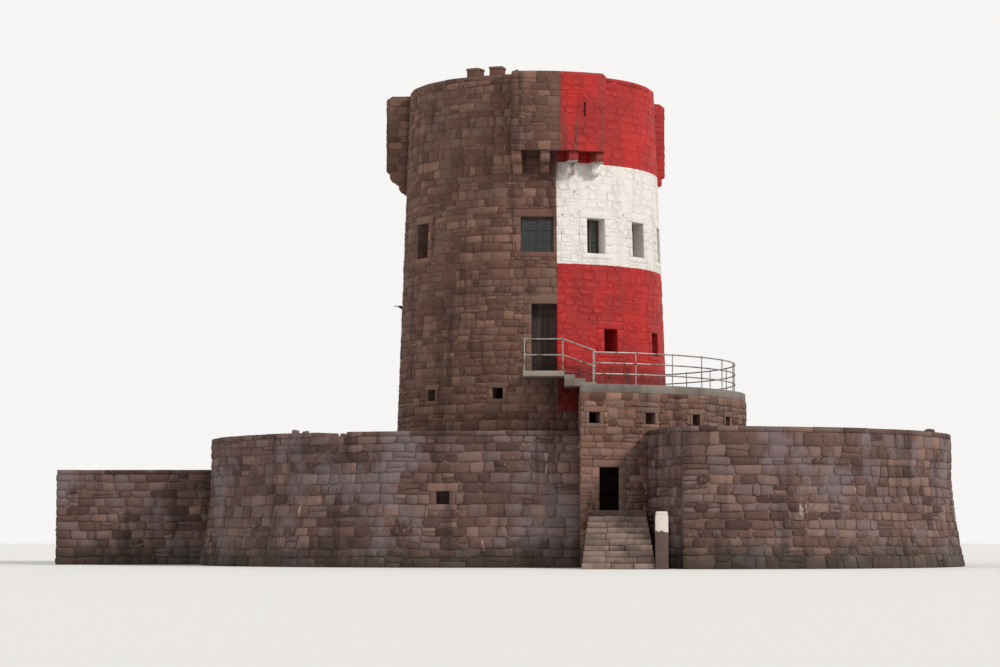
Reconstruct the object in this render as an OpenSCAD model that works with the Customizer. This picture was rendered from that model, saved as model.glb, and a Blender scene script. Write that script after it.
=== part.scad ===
// Round coastal gun tower with machicolations, a curved annex and a two-lobed battery wall.
// Millimetres. The origin lies on the tower's axis at the foot of the walls, and +Z is up.
// Azimuths are in degrees: 0 faces -Y, the entrance front, and they grow towards +X, the painted side.

/* [Tower shaft] */
// Outer radius of the shaft at the foot of the walls
shaft_foot_r = 5350; // [5000:50:5800]
// Radius that the shaft loses for each unit of height
shaft_batter = 0.036; // [0.02:0.002:0.05]
// Height of the shaft's wall, where the roof deck sits
shaft_top_z = 15550; // [15200:50:15800]
// Inner radius of the ground room
ground_room_r = 2900; // [2600:50:3100]
// How much each storey's room is wider in radius than the one below
room_step = 150; // [80:10:200]
// Thickness of the two inner floors
floor_t = 280; // [200:10:340]
// Level of the entrance floor
first_floor_z = 7050; // [6950:10:7250]
// Level of the upper floor
second_floor_z = 10900; // [10600:50:11200]

/* [Roof and parapet] */
// Thickness of the roof deck
roof_deck_t = 350; // [250:10:450]
// Height of the rim above the foot of the walls
rim_z = 18150; // [17800:50:18500]
// Thickness of the parapet wall
parapet_t = 560; // [450:10:650]
// Azimuth of the machicolation over the entrance
machicolation_az = 10.5; // [8:0.5:13]
// How far a machicolation's curved front stands out from the shaft at its underside
machicolation_reach = 840; // [700:10:900]
// Width of a machicolation, seen square on
machicolation_w = 3550; // [3200:50:3800]
// Thickness of a machicolation's front
machicolation_t = 280; // [220:10:320]
// Thickness of a machicolation's cheeks
cheek_t = 380; // [300:10:450]
// Level of a machicolation's open underside
machicolation_z = 15200; // [15000:50:15300]
// Fall of the weathered top of a machicolation's front
cap_fall = 150; // [80:10:220]
// Width of the level strip behind that weathered top
cap_flat = 60; // [30:5:100]
// Width of the upright slit in a machicolation's front
slit_w = 90; // [60:10:120]
// Height of that slit
slit_h = 520; // [400:20:700]
// Sill level of that slit
slit_z = 16480; // [16300:20:16700]
// Azimuth of that slit from the machicolation's middle
slit_az = 9.5; // [-12:0.5:12]
// Number of corbels under each machicolation
corbel_count = 4; // [3:1:5]
// Width of a corbel
corbel_w = 340; // [260:10:420]
// Height of each of a corbel's two stones
corbel_stone_h = 420; // [340:10:460]
// How far the corbels' noses stay behind the machicolation's face
corbel_set_back = 120; // [60:10:160]
// Side of the square chimney stacks on the rim
stack_w = 520; // [440:10:550]
// Height of the chimney stacks above the rim
stack_h = 340; // [200:10:400]
// Height of the round vent on the rim
roof_vent_h = 240; // [150:10:300]

/* [Openings in the shaft] */
// Width of an upper window
window_w = 760; // [600:20:900]
// Height of an upper window
window_h = 1300; // [1100:20:1500]
// Sill level of the upper windows
window_z = 11520; // [11450:10:11700]
// Width of the broad window over the entrance
broad_window_w = 1200; // [1000:20:1300]
// Azimuth of the first window on the painted side
sea_window_az = 28.7; // [27:0.1:30]
// Angle between windows on the painted side
sea_window_step = 25.1; // [24.5:0.1:25.5]
// Width of a loophole at the entrance floor
loophole_w = 600; // [450:10:650]
// Height of a loophole at the entrance floor
loophole_h = 850; // [700:10:950]
// Sill level of the loopholes at the entrance floor
loophole_z = 7880; // [7750:10:8000]
// Azimuth of the first loophole at the entrance floor
loophole_az = 35; // [34:0.5:37]
// Angle between loopholes at the entrance floor
loophole_step = 31; // [30:0.5:31.5]
// Side of a square vent near the ground room's ceiling
vent_w = 400; // [300:10:450]
// Sill level of the ground room's vents
vent_z = 6120; // [5900:10:6200]
// Depth of the window frames behind the shaft's face
frame_set_back = 450; // [300:10:700]
// Thickness of the window frames from front to back
frame_depth = 90; // [60:5:120]
// Width of a window frame's members
frame_w = 65; // [45:5:80]
// Thickness of the window glass
glass_t = 12; // [6:1:20]

/* [Entrance] */
// Azimuth of the entrance door
door_az = 5; // [4:0.5:6]
// Width of the entrance opening
door_w = 950; // [850:10:1050]
// Height of the entrance opening
door_h = 2550; // [2200:10:2650]
// Thickness of the door leaf
door_t = 70; // [50:5:90]
// Depth of the door leaf behind the shaft's face
door_set_back = 420; // [300:10:600]
// Left edge of the entrance landing
landing_x0 = -350; // [-500:10:-250]
// Right edge of the entrance landing
landing_x1 = 1150; // [1050:10:1250]
// Outer edge of the landing, measured from the tower's axis
landing_reach = 6450; // [6200:10:6700]
// Thickness of the landing slab
landing_t = 200; // [150:10:260]
// Number of treads between the landing and the annex roof
landing_treads = 3; // [2:1:4]
// Going of one of those treads
landing_going = 380; // [280:10:420]
// Radius of the railings' rails
tube_r = 26; // [22:1:34]
// Radius of the railings' posts
post_r = 20; // [15:1:21]
// Radius of the round fittings where rails meet
fitting_r = 44; // [38:1:55]
// Height of the railings
railing_h = 1150; // [1000:10:1250]
// Inset of a railing from the edge that it guards
railing_inset = 60; // [40:5:100]

/* [Annex] */
// Outer radius of the curved annex about the tower's axis
annex_r = 8150; // [7900:50:8350]
// Left end of the annex, measured from the tower's axis
annex_x0 = 1700; // [1600:20:1800]
// Thickness of the annex's curved wall
annex_t = 600; // [450:10:700]
// Thickness of the annex's two straight ends
annex_end_t = 300; // [220:10:320]
// Level of the annex roof
annex_roof_z = 6500; // [6400:10:6600]
// Thickness of the annex roof
annex_roof_t = 300; // [200:10:350]
// Level of the annex floor and of the threshold before it
annex_floor_z = 2000; // [1800:20:2200]
// Middle of the low doorway, measured from the tower's axis
low_door_x = 2720; // [2650:10:2800]
// Width of the low doorway
low_door_w = 720; // [600:10:800]
// Height of the low doorway
low_door_h = 1550; // [1400:10:1700]
// Azimuth of the first vent in the annex wall
annex_vent_az = 15.6; // [15.2:0.1:16]
// Angle between vents in the annex wall
annex_vent_step = 15.5; // [15:0.1:15.7]
// Number of vents in the annex wall
annex_vent_count = 10; // [8:1:10]
// Sill level of the annex vents
annex_vent_z = 5100; // [4950:10:5300]
// Distance of the roof railing from the annex's outer face
annex_rail_inset = 400; // [200:10:500]
// Azimuth of the first railing post
rail_post_az = 16.2; // [15.5:0.1:17]
// Angle between railing posts
rail_post_step = 12.3; // [12:0.1:12.3]
// Number of railing posts on the curve
rail_post_count = 13; // [11:1:13]

/* [Battery] */
// Radius of the battery's two round lobes at the top of the wall
lobe_r = 10000; // [9800:50:10200]
// Left lobe's centre across the front
left_lobe_x = -2600; // [-2800:50:-2400]
// Distance of the left wall's face in front of the tower's axis
left_front = 7000; // [6800:50:7200]
// Right lobe's centre across the front
right_lobe_x = 5700; // [5500:50:5900]
// Distance of the right wall's face in front of the tower's axis
right_front = 11000; // [10900:50:11200]
// Height of the battery wall
battery_z = 4850; // [4700:10:5000]
// Thickness of the battery wall at its top
battery_t = 1300; // [1000:50:1400]
// Level of the gun deck inside the battery wall
deck_z = 3600; // [3400:20:3800]
// How far the foot of the battery wall flares out
flare = 460; // [350:10:550]
// Height below which the battery wall flares
flare_z = 3200; // [2800:50:3500]
// Side of the square outlet in the left lobe's face
outlet_w = 460; // [350:10:550]
// Sill level of the outlet
outlet_z = 2250; // [2100:10:2400]
// Height of the missing top course
missing_course_h = 130; // [80:10:180]
// Height of the wall that leads to the shore
approach_z = 3700; // [3500:20:3900]
// Thickness of the wall that leads to the shore
approach_t = 1400; // [1200:50:1600]
// Length of that wall, measured from the left lobe's face
approach_l = 6100; // [5000:100:7000]

/* [Gateway] */
// Right edge of the gateway at the annex wall
gate_back_x = 4100; // [4000:20:4200]
// Right edge of the gateway at the battery's face
gate_front_x = 5100; // [5000:20:5200]
// Thickness of the wall along the gateway's right side
return_t = 900; // [800:20:1000]
// Number of steps up to the threshold
step_count = 10; // [8:1:11]
// Going of a step
step_going = 300; // [260:10:320]
// Front of the threshold, measured from the tower's axis
threshold_y = 8900; // [8700:20:9000]
// Left edge of the top step
top_step_x0 = 1960; // [1900:10:2000]
// Right edge of the top step
top_step_x1 = 3950; // [3850:10:3980]
// Left edge of the bottom step
low_step_x0 = 1650; // [1600:10:1700]
// Right edge of the bottom step
low_step_x1 = 4150; // [4050:10:4180]
// Side of the gate post
post_w = 430; // [380:10:450]
// Height of the gate post
post_h = 1950; // [1800:10:2100]

/* [Hidden] */

ring_fn = 720;
tube_fn = 48;
// Larger than the whole tower, for half-planes
far = 40000;
// How far a cutter passes the faces that it cuts
past = 10;
bare_stone = [0.47, 0.40, 0.35];
red_paint = [0.78, 0.10, 0.09];
white_paint = [0.90, 0.88, 0.87];
concrete = [0.60, 0.57, 0.54];
door_wood = [0.16, 0.12, 0.10];
frame_wood = [0.20, 0.17, 0.15];
clear_glass = [0.55, 0.62, 0.66, 0.4];
// Azimuths at which the shaft's wall is divided, clear of every opening
shaft_cuts = [-33, 17, 72, 116, 170, 224, 276, 327];
// Upper windows on the bare side
land_window_azs = [-57, -110, -163];
broad_window_az = 2;
sea_window_count = 6;
loophole_count = 5;
vent_azs = [-14.5, -47, -79.5, -112];
machicolation_step = 120;
deck_edge_r = shaft_r(rim_z) - parapet_t;
roof_z = shaft_top_z + roof_deck_t;
machicolation_r = shaft_r(machicolation_z) + machicolation_reach;
left_lobe_y = lobe_r - left_front;
right_lobe_y = lobe_r - right_front;

function shaft_r(z) = shaft_foot_r - shaft_batter * z;
function dir(az) = [sin(az), -cos(az)];
function at(r, az) = r * dir(az);
function room_r(storey) = ground_room_r + storey * room_step;
// Angle that a chord of a given half width spans at a radius
function half_angle(w, r) = asin(w / 2 / r);
function window_azs() = concat(
    [for (i = [0 : sea_window_count - 1]) sea_window_az + i * sea_window_step],
    land_window_azs
);
function loophole_azs() = [for (i = [0 : loophole_count - 1]) loophole_az + i * loophole_step];
// Azimuth at which a circle about the axis reaches a distance to the right
function az_at(x, r) = asin(x / r);
function between(az, from, to) = let (a = (az - from + 720) % 360) a < to - from;

// A piece of a revolved profile, from one azimuth to another
module arc_piece(from, to) {
    rotate([0, 0, from - 90])
        rotate_extrude(angle = to - from, $fn = ring_fn)
            children();
}

// A box through a wall, standing at an azimuth, from one radius to another
module cutter(az, w, z, h, r_in, r_out) {
    rotate([0, 0, az])
        translate([-w / 2, -r_out, z])
            cube([w, r_out - r_in, h]);
}

// The tapered body of the tower as one solid, for cutting what meets it
module shaft_body(z0, z1) {
    translate([0, 0, z0])
        cylinder(h = z1 - z0, r1 = shaft_r(z0), r2 = shaft_r(z1), $fn = ring_fn);
}

module shaft_profile() {
    polygon([
        [room_r(0), deck_z],
        [shaft_r(deck_z), deck_z],
        [shaft_r(shaft_top_z), shaft_top_z],
        [room_r(2), shaft_top_z],
        [room_r(2), second_floor_z - floor_t],
        [room_r(1), second_floor_z - floor_t],
        [room_r(1), first_floor_z - floor_t],
        [room_r(0), first_floor_z - floor_t]
    ]);
}

module shaft_openings(from, to) {
    reach = shaft_foot_r + past;
    inside = ground_room_r / 2;
    for (az = window_azs())
        if (between(az, from, to)) cutter(az, window_w, window_z, window_h, inside, reach);
    if (between(broad_window_az, from, to))
        cutter(broad_window_az, broad_window_w, window_z, window_h, inside, reach);
    for (az = loophole_azs())
        if (between(az, from, to)) cutter(az, loophole_w, loophole_z, loophole_h, inside, reach);
    for (az = vent_azs)
        if (between(az, from, to)) cutter(az, vent_w, vent_z, vent_w, inside, reach);
    if (between(door_az, from, to)) cutter(door_az, door_w, first_floor_z, door_h, inside, reach);
}

module shaft_wall(i) {
    from = shaft_cuts[i];
    to = shaft_cuts[i + 1];
    color(i == 1 || i == 2 || i == 3 ? red_paint : bare_stone)
        difference() {
            arc_piece(from, to) shaft_profile();
            shaft_openings(from, to);
        }
}

module tower_footing() {
    color(bare_stone) shaft_body(0, deck_z);
}

module round_floor(r, top, t) {
    translate([0, 0, top - t]) cylinder(h = t, r = r, $fn = ring_fn);
}

module first_floor() {
    color(concrete) round_floor(room_r(1), first_floor_z, floor_t);
}

module second_floor() {
    color(concrete) round_floor(room_r(2), second_floor_z, floor_t);
}

module roof_deck() {
    color(concrete) round_floor(deck_edge_r, roof_z, roof_deck_t);
}

module parapet_profile() {
    polygon([
        [deck_edge_r, shaft_top_z],
        [shaft_r(shaft_top_z), shaft_top_z],
        [shaft_r(rim_z), rim_z],
        [deck_edge_r, rim_z]
    ]);
}

// Half angles of a machicolation, outside and inside its cheeks
box_half = half_angle(machicolation_w, machicolation_r);
room_half = half_angle(machicolation_w - 2 * cheek_t, machicolation_r);

function box_az(i) = machicolation_az + i * machicolation_step;

module parapet(i) {
    color(i == 0 ? red_paint : bare_stone)
        arc_piece(box_az(i) + room_half, box_az(i + 1) - room_half) parapet_profile();
}

// The front and the cheeks stand on the corbels, and the slot behind the front is open below
module machicolation(i) {
    front_r = machicolation_r - machicolation_t;
    color(i == 1 ? red_paint : bare_stone)
        difference() {
            arc_piece(box_az(i) - box_half, box_az(i) + box_half)
                polygon([
                    [shaft_r(machicolation_z), machicolation_z],
                    [machicolation_r, machicolation_z],
                    [machicolation_r, rim_z - cap_fall],
                    [front_r + cap_flat, rim_z],
                    [shaft_r(rim_z), rim_z]
                ]);
            arc_piece(box_az(i) - room_half, box_az(i) + room_half)
                translate([deck_edge_r, machicolation_z - past])
                    square([front_r - deck_edge_r, rim_z - machicolation_z + 2 * past]);
            cutter(box_az(i) + slit_az, slit_w, slit_z, slit_h, front_r - past, machicolation_r + past);
        }
}

module corbel(az) {
    half = half_angle(corbel_w, machicolation_r);
    low_z = machicolation_z - 2 * corbel_stone_h;
    mid_z = machicolation_z - corbel_stone_h;
    nose_r = machicolation_r - corbel_set_back;
    mid_r = (shaft_r(mid_z) + nose_r) / 2;
    bull = corbel_stone_h / 3;
    arc_piece(az - half, az + half)
        polygon([
            [shaft_r(low_z), low_z],
            [mid_r - bull, low_z],
            [mid_r, low_z + bull],
            [mid_r, mid_z],
            [nose_r - bull, mid_z],
            [nose_r, mid_z + bull],
            [nose_r, machicolation_z],
            [shaft_r(machicolation_z), machicolation_z]
        ]);
}

module corbels() {
    edge = box_half - half_angle(corbel_w, machicolation_r);
    color(bare_stone)
        for (i = [0 : 2])
            for (j = [0 : corbel_count - 1])
                corbel(box_az(i) - edge + j * 2 * edge / (corbel_count - 1));
}

stack_azs = [-28.6, -17];
rim_middle_r = shaft_r(rim_z) - parapet_t / 2;

module chimney_stacks() {
    color(bare_stone)
        for (az = stack_azs)
            rotate([0, 0, az])
                translate([-stack_w / 2, -rim_middle_r - stack_w / 2, rim_z])
                    cube([stack_w, stack_w, stack_h]);
}

roof_vent_r = 90;
roof_vent_az = -7.5;

module roof_vent() {
    color(concrete)
        rotate([0, 0, roof_vent_az])
            translate([0, -rim_middle_r, rim_z])
                cylinder(h = roof_vent_h, r = roof_vent_r, $fn = tube_fn);
}

module entrance_door() {
    face = shaft_r(first_floor_z + door_h) - door_set_back;
    color(door_wood)
        cutter(door_az, door_w, first_floor_z, door_h, face - door_t, face);
}

// Left edge and width of a window's left (-1) or right (1) light
function light_x(side, w) = side > 0 ? frame_w / 2 : frame_w - w / 2;
function light_w(w) = w / 2 - 1.5 * frame_w;

module window_frame(az, w) {
    face = shaft_r(window_z + window_h) - frame_set_back;
    difference() {
        cutter(az, w, window_z, window_h, face - frame_depth, face);
        for (side = [-1, 1])
            rotate([0, 0, az])
                translate([light_x(side, w), -face - past, window_z + frame_w])
                    cube([light_w(w), frame_depth + 2 * past, window_h - 2 * frame_w]);
    }
}

module window_frames() {
    color(frame_wood) {
        for (az = window_azs()) window_frame(az, window_w);
        window_frame(broad_window_az, broad_window_w);
    }
}

module window_pane(az, w) {
    face = shaft_r(window_z + window_h) - frame_set_back - frame_depth / 2;
    for (side = [-1, 1])
        rotate([0, 0, az])
            translate([light_x(side, w), -face, window_z + frame_w])
                cube([light_w(w), glass_t, window_h - 2 * frame_w]);
}

module window_glass() {
    color(clear_glass) {
        for (az = window_azs()) window_pane(az, window_w);
        window_pane(broad_window_az, broad_window_w);
    }
}

module entrance_landing() {
    color(concrete)
        difference() {
            translate([landing_x0, -landing_reach, first_floor_z - landing_t])
                cube([landing_x1 - landing_x0, landing_reach, landing_t]);
            shaft_body(first_floor_z - landing_t - past, first_floor_z + past);
        }
}

landing_drop = first_floor_z - annex_roof_z;
tread_rise = landing_drop / (landing_treads + 1);
stair_end_x = landing_x1 + landing_treads * landing_going;

module landing_steps() {
    color(concrete)
        difference() {
            for (i = [0 : landing_treads - 1])
                translate([landing_x1 + i * landing_going, -landing_reach, annex_roof_z])
                    cube([landing_going, landing_reach, landing_drop - (i + 1) * tread_rise]);
            shaft_body(annex_roof_z - past, first_floor_z + past);
        }
}

// A tube from one point to another
module tube(a, b, r = tube_r) {
    run = b - a;
    length = norm(run);
    translate(a)
        rotate([0, acos(run.z / length), atan2(run.y, run.x)])
            cylinder(h = length, r = r, $fn = tube_fn);
}

module landing_railing() {
    y = -landing_reach + railing_inset;
    x0 = landing_x0 + railing_inset;
    x1 = landing_x1 - railing_inset;
    x2 = stair_end_x - railing_inset;
    wall_y = -shaft_r(first_floor_z) + 2 * railing_inset;
    top = first_floor_z + railing_h;
    low_top = annex_roof_z + tread_rise + railing_h;
    color(concrete) {
        tube([x0, y, first_floor_z], [x0, y, top], post_r);
        tube([x1, y, first_floor_z], [x1, y, top], post_r);
        tube([x2, y, annex_roof_z + tread_rise], [x2, y, low_top], post_r);
        for (drop = [0, railing_h / 2]) {
            tube([x0, y, top - drop], [x1, y, top - drop]);
            tube([x1, y, top - drop], [x2, y, low_top - drop]);
            for (joint = [[x0, y, top - drop], [x1, y, top - drop], [x2, y, low_top - drop]])
                translate(joint) sphere(r = fitting_r, $fn = tube_fn);
            difference() {
                tube([x0, wall_y, top - drop], [x0, y, top - drop]);
                shaft_body(first_floor_z, first_floor_z + 2 * railing_h);
            }
        }
    }
}

module right_of(x) {
    translate([x, -far / 2, -past]) cube([far, far, far]);
}

annex_inner_r = annex_r - annex_t;
annex_wall_z = annex_roof_z - annex_roof_t;
// The low doorway's cut reaches past the wall's inner face at its right edge
low_door_inner_y = sqrt(pow(annex_inner_r, 2) - pow(low_door_x + low_door_w / 2, 2)) - past;
// Azimuths at which the annex wall is divided, clear of its vents
annex_cuts = [5, annex_vent_az + 3.5 * annex_vent_step, 180 - annex_vent_az - 2.5 * annex_vent_step, 175];

module annex_openings() {
    for (i = [0 : annex_vent_count - 1])
        cutter(annex_vent_az + i * annex_vent_step, vent_w, annex_vent_z, vent_w,
            annex_inner_r - annex_t, annex_r + past);
    translate([low_door_x - low_door_w / 2, -annex_r, annex_floor_z])
        cube([low_door_w, annex_r - low_door_inner_y, low_door_h]);
}

module annex_wall(i) {
    color(bare_stone)
        difference() {
            intersection() {
                arc_piece(annex_cuts[i], annex_cuts[i + 1])
                    translate([annex_inner_r, 0]) square([annex_t, annex_wall_z]);
                right_of(annex_x0);
            }
            annex_openings();
        }
}

// One of the annex's two straight ends, in front of the tower or behind it
module annex_end(side) {
    color(bare_stone)
        difference() {
            intersection() {
                translate([annex_x0, side < 0 ? -annex_inner_r : 0, 0])
                    cube([annex_end_t, annex_inner_r, annex_wall_z]);
                cylinder(h = annex_wall_z, r = annex_inner_r, $fn = ring_fn);
            }
            shaft_body(-past, annex_wall_z + past);
        }
}

module annex_end_front() annex_end(-1);

module annex_end_back() annex_end(1);

// The annex's plan as a slab: a disc about the axis, cut off straight on its left
module annex_slab(r, x0, z0, z1) {
    corner = az_at(x0, r);
    intersection() {
        for (span = [[corner, 90], [90, 180 - corner]])
            arc_piece(span[0], span[1]) translate([0, z0]) square([r, z1 - z0]);
        right_of(x0);
    }
}

module annex_floor() {
    color(bare_stone)
        difference() {
            annex_slab(annex_inner_r, annex_x0 + annex_end_t, 0, annex_floor_z);
            shaft_body(-past, annex_floor_z + past);
        }
}

module annex_roof() {
    color(concrete)
        difference() {
            annex_slab(annex_r, annex_x0, annex_wall_z, annex_roof_z);
            shaft_body(annex_wall_z - past, annex_roof_z + past);
        }
}

annex_rail_r = annex_r - annex_rail_inset;

module annex_railing() {
    last_az = rail_post_az + (rail_post_count - 1) * rail_post_step;
    color(concrete) {
        for (i = [0 : rail_post_count - 1]) {
            foot = at(annex_rail_r, rail_post_az + i * rail_post_step);
            translate([foot.x, foot.y, annex_roof_z])
                cylinder(h = railing_h, r = post_r, $fn = tube_fn);
        }
        for (level = [1, 2, 3])
            for (span = [[rail_post_az, 90], [90, last_az]])
                arc_piece(span[0], span[1])
                    translate([annex_rail_r, annex_roof_z + railing_h * level / 3])
                        circle(r = tube_r, $fn = tube_fn);
    }
}

// The flare's hollow curve, as a few straight cones from the foot up
flare_cones = 4;
flare_curve = [
    for (i = [0 : flare_cones])
        [lobe_r + flare * pow(1 - i / flare_cones, 1.5), flare_z * i / flare_cones]
];

module battery_profile() {
    polygon(concat(
        [[lobe_r - battery_t, 0]],
        flare_curve,
        [[lobe_r, battery_z], [lobe_r - battery_t, battery_z]]
    ));
}

module at_left_lobe() {
    translate([left_lobe_x, left_lobe_y, 0]) children();
}

module at_right_lobe() {
    translate([right_lobe_x, right_lobe_y, 0]) children();
}

// A lobe as a filled body, as far out as the face of its wall
module lobe_body() {
    rotate_extrude($fn = ring_fn)
        polygon(concat(
            [[0, -past], [lobe_r + flare, -past]],
            flare_curve,
            [[lobe_r, battery_z], [0, battery_z]]
        ));
}

// The walls of the two lobes are mitred behind the tower, in the upright plane halfway between
// the lobes' centres
lobe_run = [right_lobe_x - left_lobe_x, right_lobe_y - left_lobe_y];
across_az = atan2(lobe_run.x, -lobe_run.y);

// Everything on the right (1) or the left (-1) of the mitre's plane
module past_mitre(side) {
    translate([left_lobe_x + lobe_run.x / 2, left_lobe_y + lobe_run.y / 2, -past])
        rotate([0, 0, across_az - 90])
            translate([side > 0 ? 0 : -far, -far / 2, 0])
                cube([far, far, far]);
}

// Azimuths at which the left lobe's wall is divided, from the front round to the back
left_cuts = [0, -61, -119, -180, -239];
// Azimuths at which the right lobe's wall is divided
right_cuts = [-8, 61, 119, 239];
// Stretch of the left wall whose top course is missing
missing_from_az = -31.3;
missing_to_az = -24.2;
outlet_x = -3200;
outlet_depth = 500;

module battery_left(i) {
    color(bare_stone)
        difference() {
            at_left_lobe() arc_piece(left_cuts[i + 1], left_cuts[i]) battery_profile();
            if (i == 0) {
                at_left_lobe()
                    arc_piece(missing_from_az, missing_to_az)
                        translate([lobe_r - battery_t - past, battery_z - missing_course_h])
                            square([battery_t + 2 * past, missing_course_h + past]);
                translate([outlet_x - outlet_w / 2, left_lobe_y - lobe_r - flare, outlet_z])
                    cube([outlet_w, flare + outlet_depth, outlet_w]);
            }
            if (i == 3) past_mitre(1);
        }
}

module battery_front() {
    color(bare_stone)
        translate([left_lobe_x, left_lobe_y, 0])
            rotate([90, 0, 90])
                linear_extrude(annex_x0 - left_lobe_x)
                    mirror([1, 0]) battery_profile();
}

// The gateway's plan: open to the front, closed on the right by a slanting side
gate_back_y = -sqrt(pow(annex_r, 2) - pow(gate_back_x, 2));
gate_front_y = right_lobe_y - lobe_r;
gate_slant = (gate_front_x - gate_back_x) / (gate_front_y - gate_back_y);

function slant_x(y) = gate_back_x + gate_slant * (y - gate_back_y);

// Everything to the left of the gateway's right side, shifted to the right by a distance
module left_of_slant(shift) {
    translate([shift, 0, -past])
        linear_extrude(far)
            polygon([[-far, -far], [slant_x(-far), -far], [slant_x(far), far], [-far, far]]);
}

module battery_right(i) {
    color(bare_stone)
        difference() {
            at_right_lobe() arc_piece(right_cuts[i], right_cuts[i + 1]) battery_profile();
            if (i == 0) left_of_slant(0);
            if (i == 2) past_mitre(-1);
        }
}

// The annex's round plan as a cutter for what stands against it
module annex_disc(h) {
    translate([0, 0, -past]) cylinder(h = h + 2 * past, r = annex_r, $fn = ring_fn);
}

module gateway_return() {
    color(bare_stone)
        difference() {
            intersection() {
                at_right_lobe()
                    cylinder(h = battery_z, r = lobe_r - battery_t, $fn = ring_fn);
                left_of_slant(return_t);
                translate([0, -far / 2, 0]) cube([far, far / 2 + right_lobe_y, battery_z]);
            }
            left_of_slant(0);
            annex_disc(battery_z);
        }
}

// The two fills meet in the mitre's plane too
module battery_fill_left() {
    color(concrete)
        difference() {
            union() {
                at_left_lobe() cylinder(h = deck_z, r = lobe_r - battery_t, $fn = ring_fn);
                translate([left_lobe_x, left_lobe_y - lobe_r + battery_t, 0])
                    cube([annex_x0 - left_lobe_x, lobe_r - battery_t, deck_z]);
            }
            difference() {
                past_mitre(1);
                translate([annex_x0 - far, -far, -2 * past]) cube([far, far, far]);
            }
            annex_slab(annex_r, annex_x0, -past, deck_z + past);
            shaft_body(-past, deck_z + past);
        }
}

module battery_fill_right() {
    color(concrete)
        difference() {
            at_right_lobe() cylinder(h = deck_z, r = lobe_r - battery_t, $fn = ring_fn);
            past_mitre(-1);
            annex_disc(deck_z);
            intersection() {
                left_of_slant(return_t);
                translate([0, -far / 2, -past]) cube([far, far / 2, far]);
            }
        }
}

// Edge of a step on the way from the top step's edge to the bottom step's
function step_edge(top, low, i) = top + (low - top) * i / (step_count - 1);

module gateway_steps() {
    rise = annex_floor_z / step_count;
    color(concrete)
        difference() {
            union() {
                for (i = [1 : step_count - 1]) {
                    x0 = step_edge(top_step_x0, low_step_x0, i);
                    x1 = step_edge(top_step_x1, low_step_x1, i);
                    translate([x0, -threshold_y - i * step_going, 0])
                        cube([x1 - x0, step_going, annex_floor_z - i * rise]);
                }
                translate([top_step_x0, -threshold_y, 0])
                    cube([
                        top_step_x1 - top_step_x0,
                        threshold_y - sqrt(pow(annex_r, 2) - pow(top_step_x1, 2)),
                        annex_floor_z
                    ]);
            }
            arc_piece(az_at(top_step_x0, annex_r), az_at(top_step_x1, annex_r))
                translate([0, -past]) square([annex_r, annex_floor_z + 2 * past]);
        }
}

// How far the gate post stands ahead of the bottom step
post_ahead = 100;

module gate_post() {
    color(white_paint)
        translate([low_step_x1, -threshold_y - (step_count - 1) * step_going - post_ahead, 0])
            cube([post_w, post_w, post_h]);
}

module approach_wall() {
    color(bare_stone)
        difference() {
            translate([
                left_lobe_x - lobe_r - approach_l, left_lobe_y - approach_t / 2, 0
            ])
                cube([approach_l + lobe_r, approach_t, approach_z]);
            at_left_lobe() lobe_body();
        }
}

bracket_az = -88;
bracket_z = 9800;
bracket_l = 320;
bracket_h = 160;
bracket_t = 60;

module wall_bracket() {
    color(concrete)
        difference() {
            cutter(bracket_az, bracket_t, bracket_z, bracket_h,
                shaft_r(bracket_z) - bracket_l, shaft_r(bracket_z) + bracket_l);
            shaft_body(bracket_z - past, bracket_z + bracket_h + past);
        }
}

shaft_wall(0);  // shaft_wall_1
shaft_wall(1);  // shaft_wall_2
shaft_wall(2);  // shaft_wall_3
shaft_wall(3);  // shaft_wall_4
shaft_wall(4);  // shaft_wall_5
shaft_wall(5);  // shaft_wall_6
shaft_wall(6);  // shaft_wall_7
tower_footing();
first_floor();
second_floor();
roof_deck();
parapet(0);  // parapet_1
parapet(1);  // parapet_2
parapet(2);  // parapet_3
machicolation(0);  // machicolation_1
machicolation(1);  // machicolation_2
machicolation(2);  // machicolation_3
corbels();
chimney_stacks();
roof_vent();
entrance_door();
window_frames();
window_glass();
entrance_landing();
landing_steps();
landing_railing();
annex_wall(0);  // annex_wall_1
annex_wall(1);  // annex_wall_2
annex_wall(2);  // annex_wall_3
annex_end_front();
annex_end_back();
annex_floor();
annex_roof();
annex_railing();
battery_left(0);  // battery_left_1
battery_left(1);  // battery_left_2
battery_left(2);  // battery_left_3
battery_left(3);  // battery_left_4
battery_front();
battery_right(0);  // battery_right_1
battery_right(1);  // battery_right_2
battery_right(2);  // battery_right_3
gateway_return();
battery_fill_left();
battery_fill_right();
gateway_steps();
gate_post();
approach_wall();
wall_bracket();
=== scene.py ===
# %% [markdown]
# # A round gun tower by the sea, dressed stone by stone
# The walls arrive as plain solids at their real size. This lesson gives them their masonry, their
# paint and their ironwork. A tower like this is read from its stones: thousands of small shadows in
# wavy courses, with big dressed blocks only where a mason needed a true edge.
# First the plain model is loaded.

# %% Load the plain model
import math
import random
import bmesh
import bpy
from mathutils import Matrix, Vector


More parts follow.
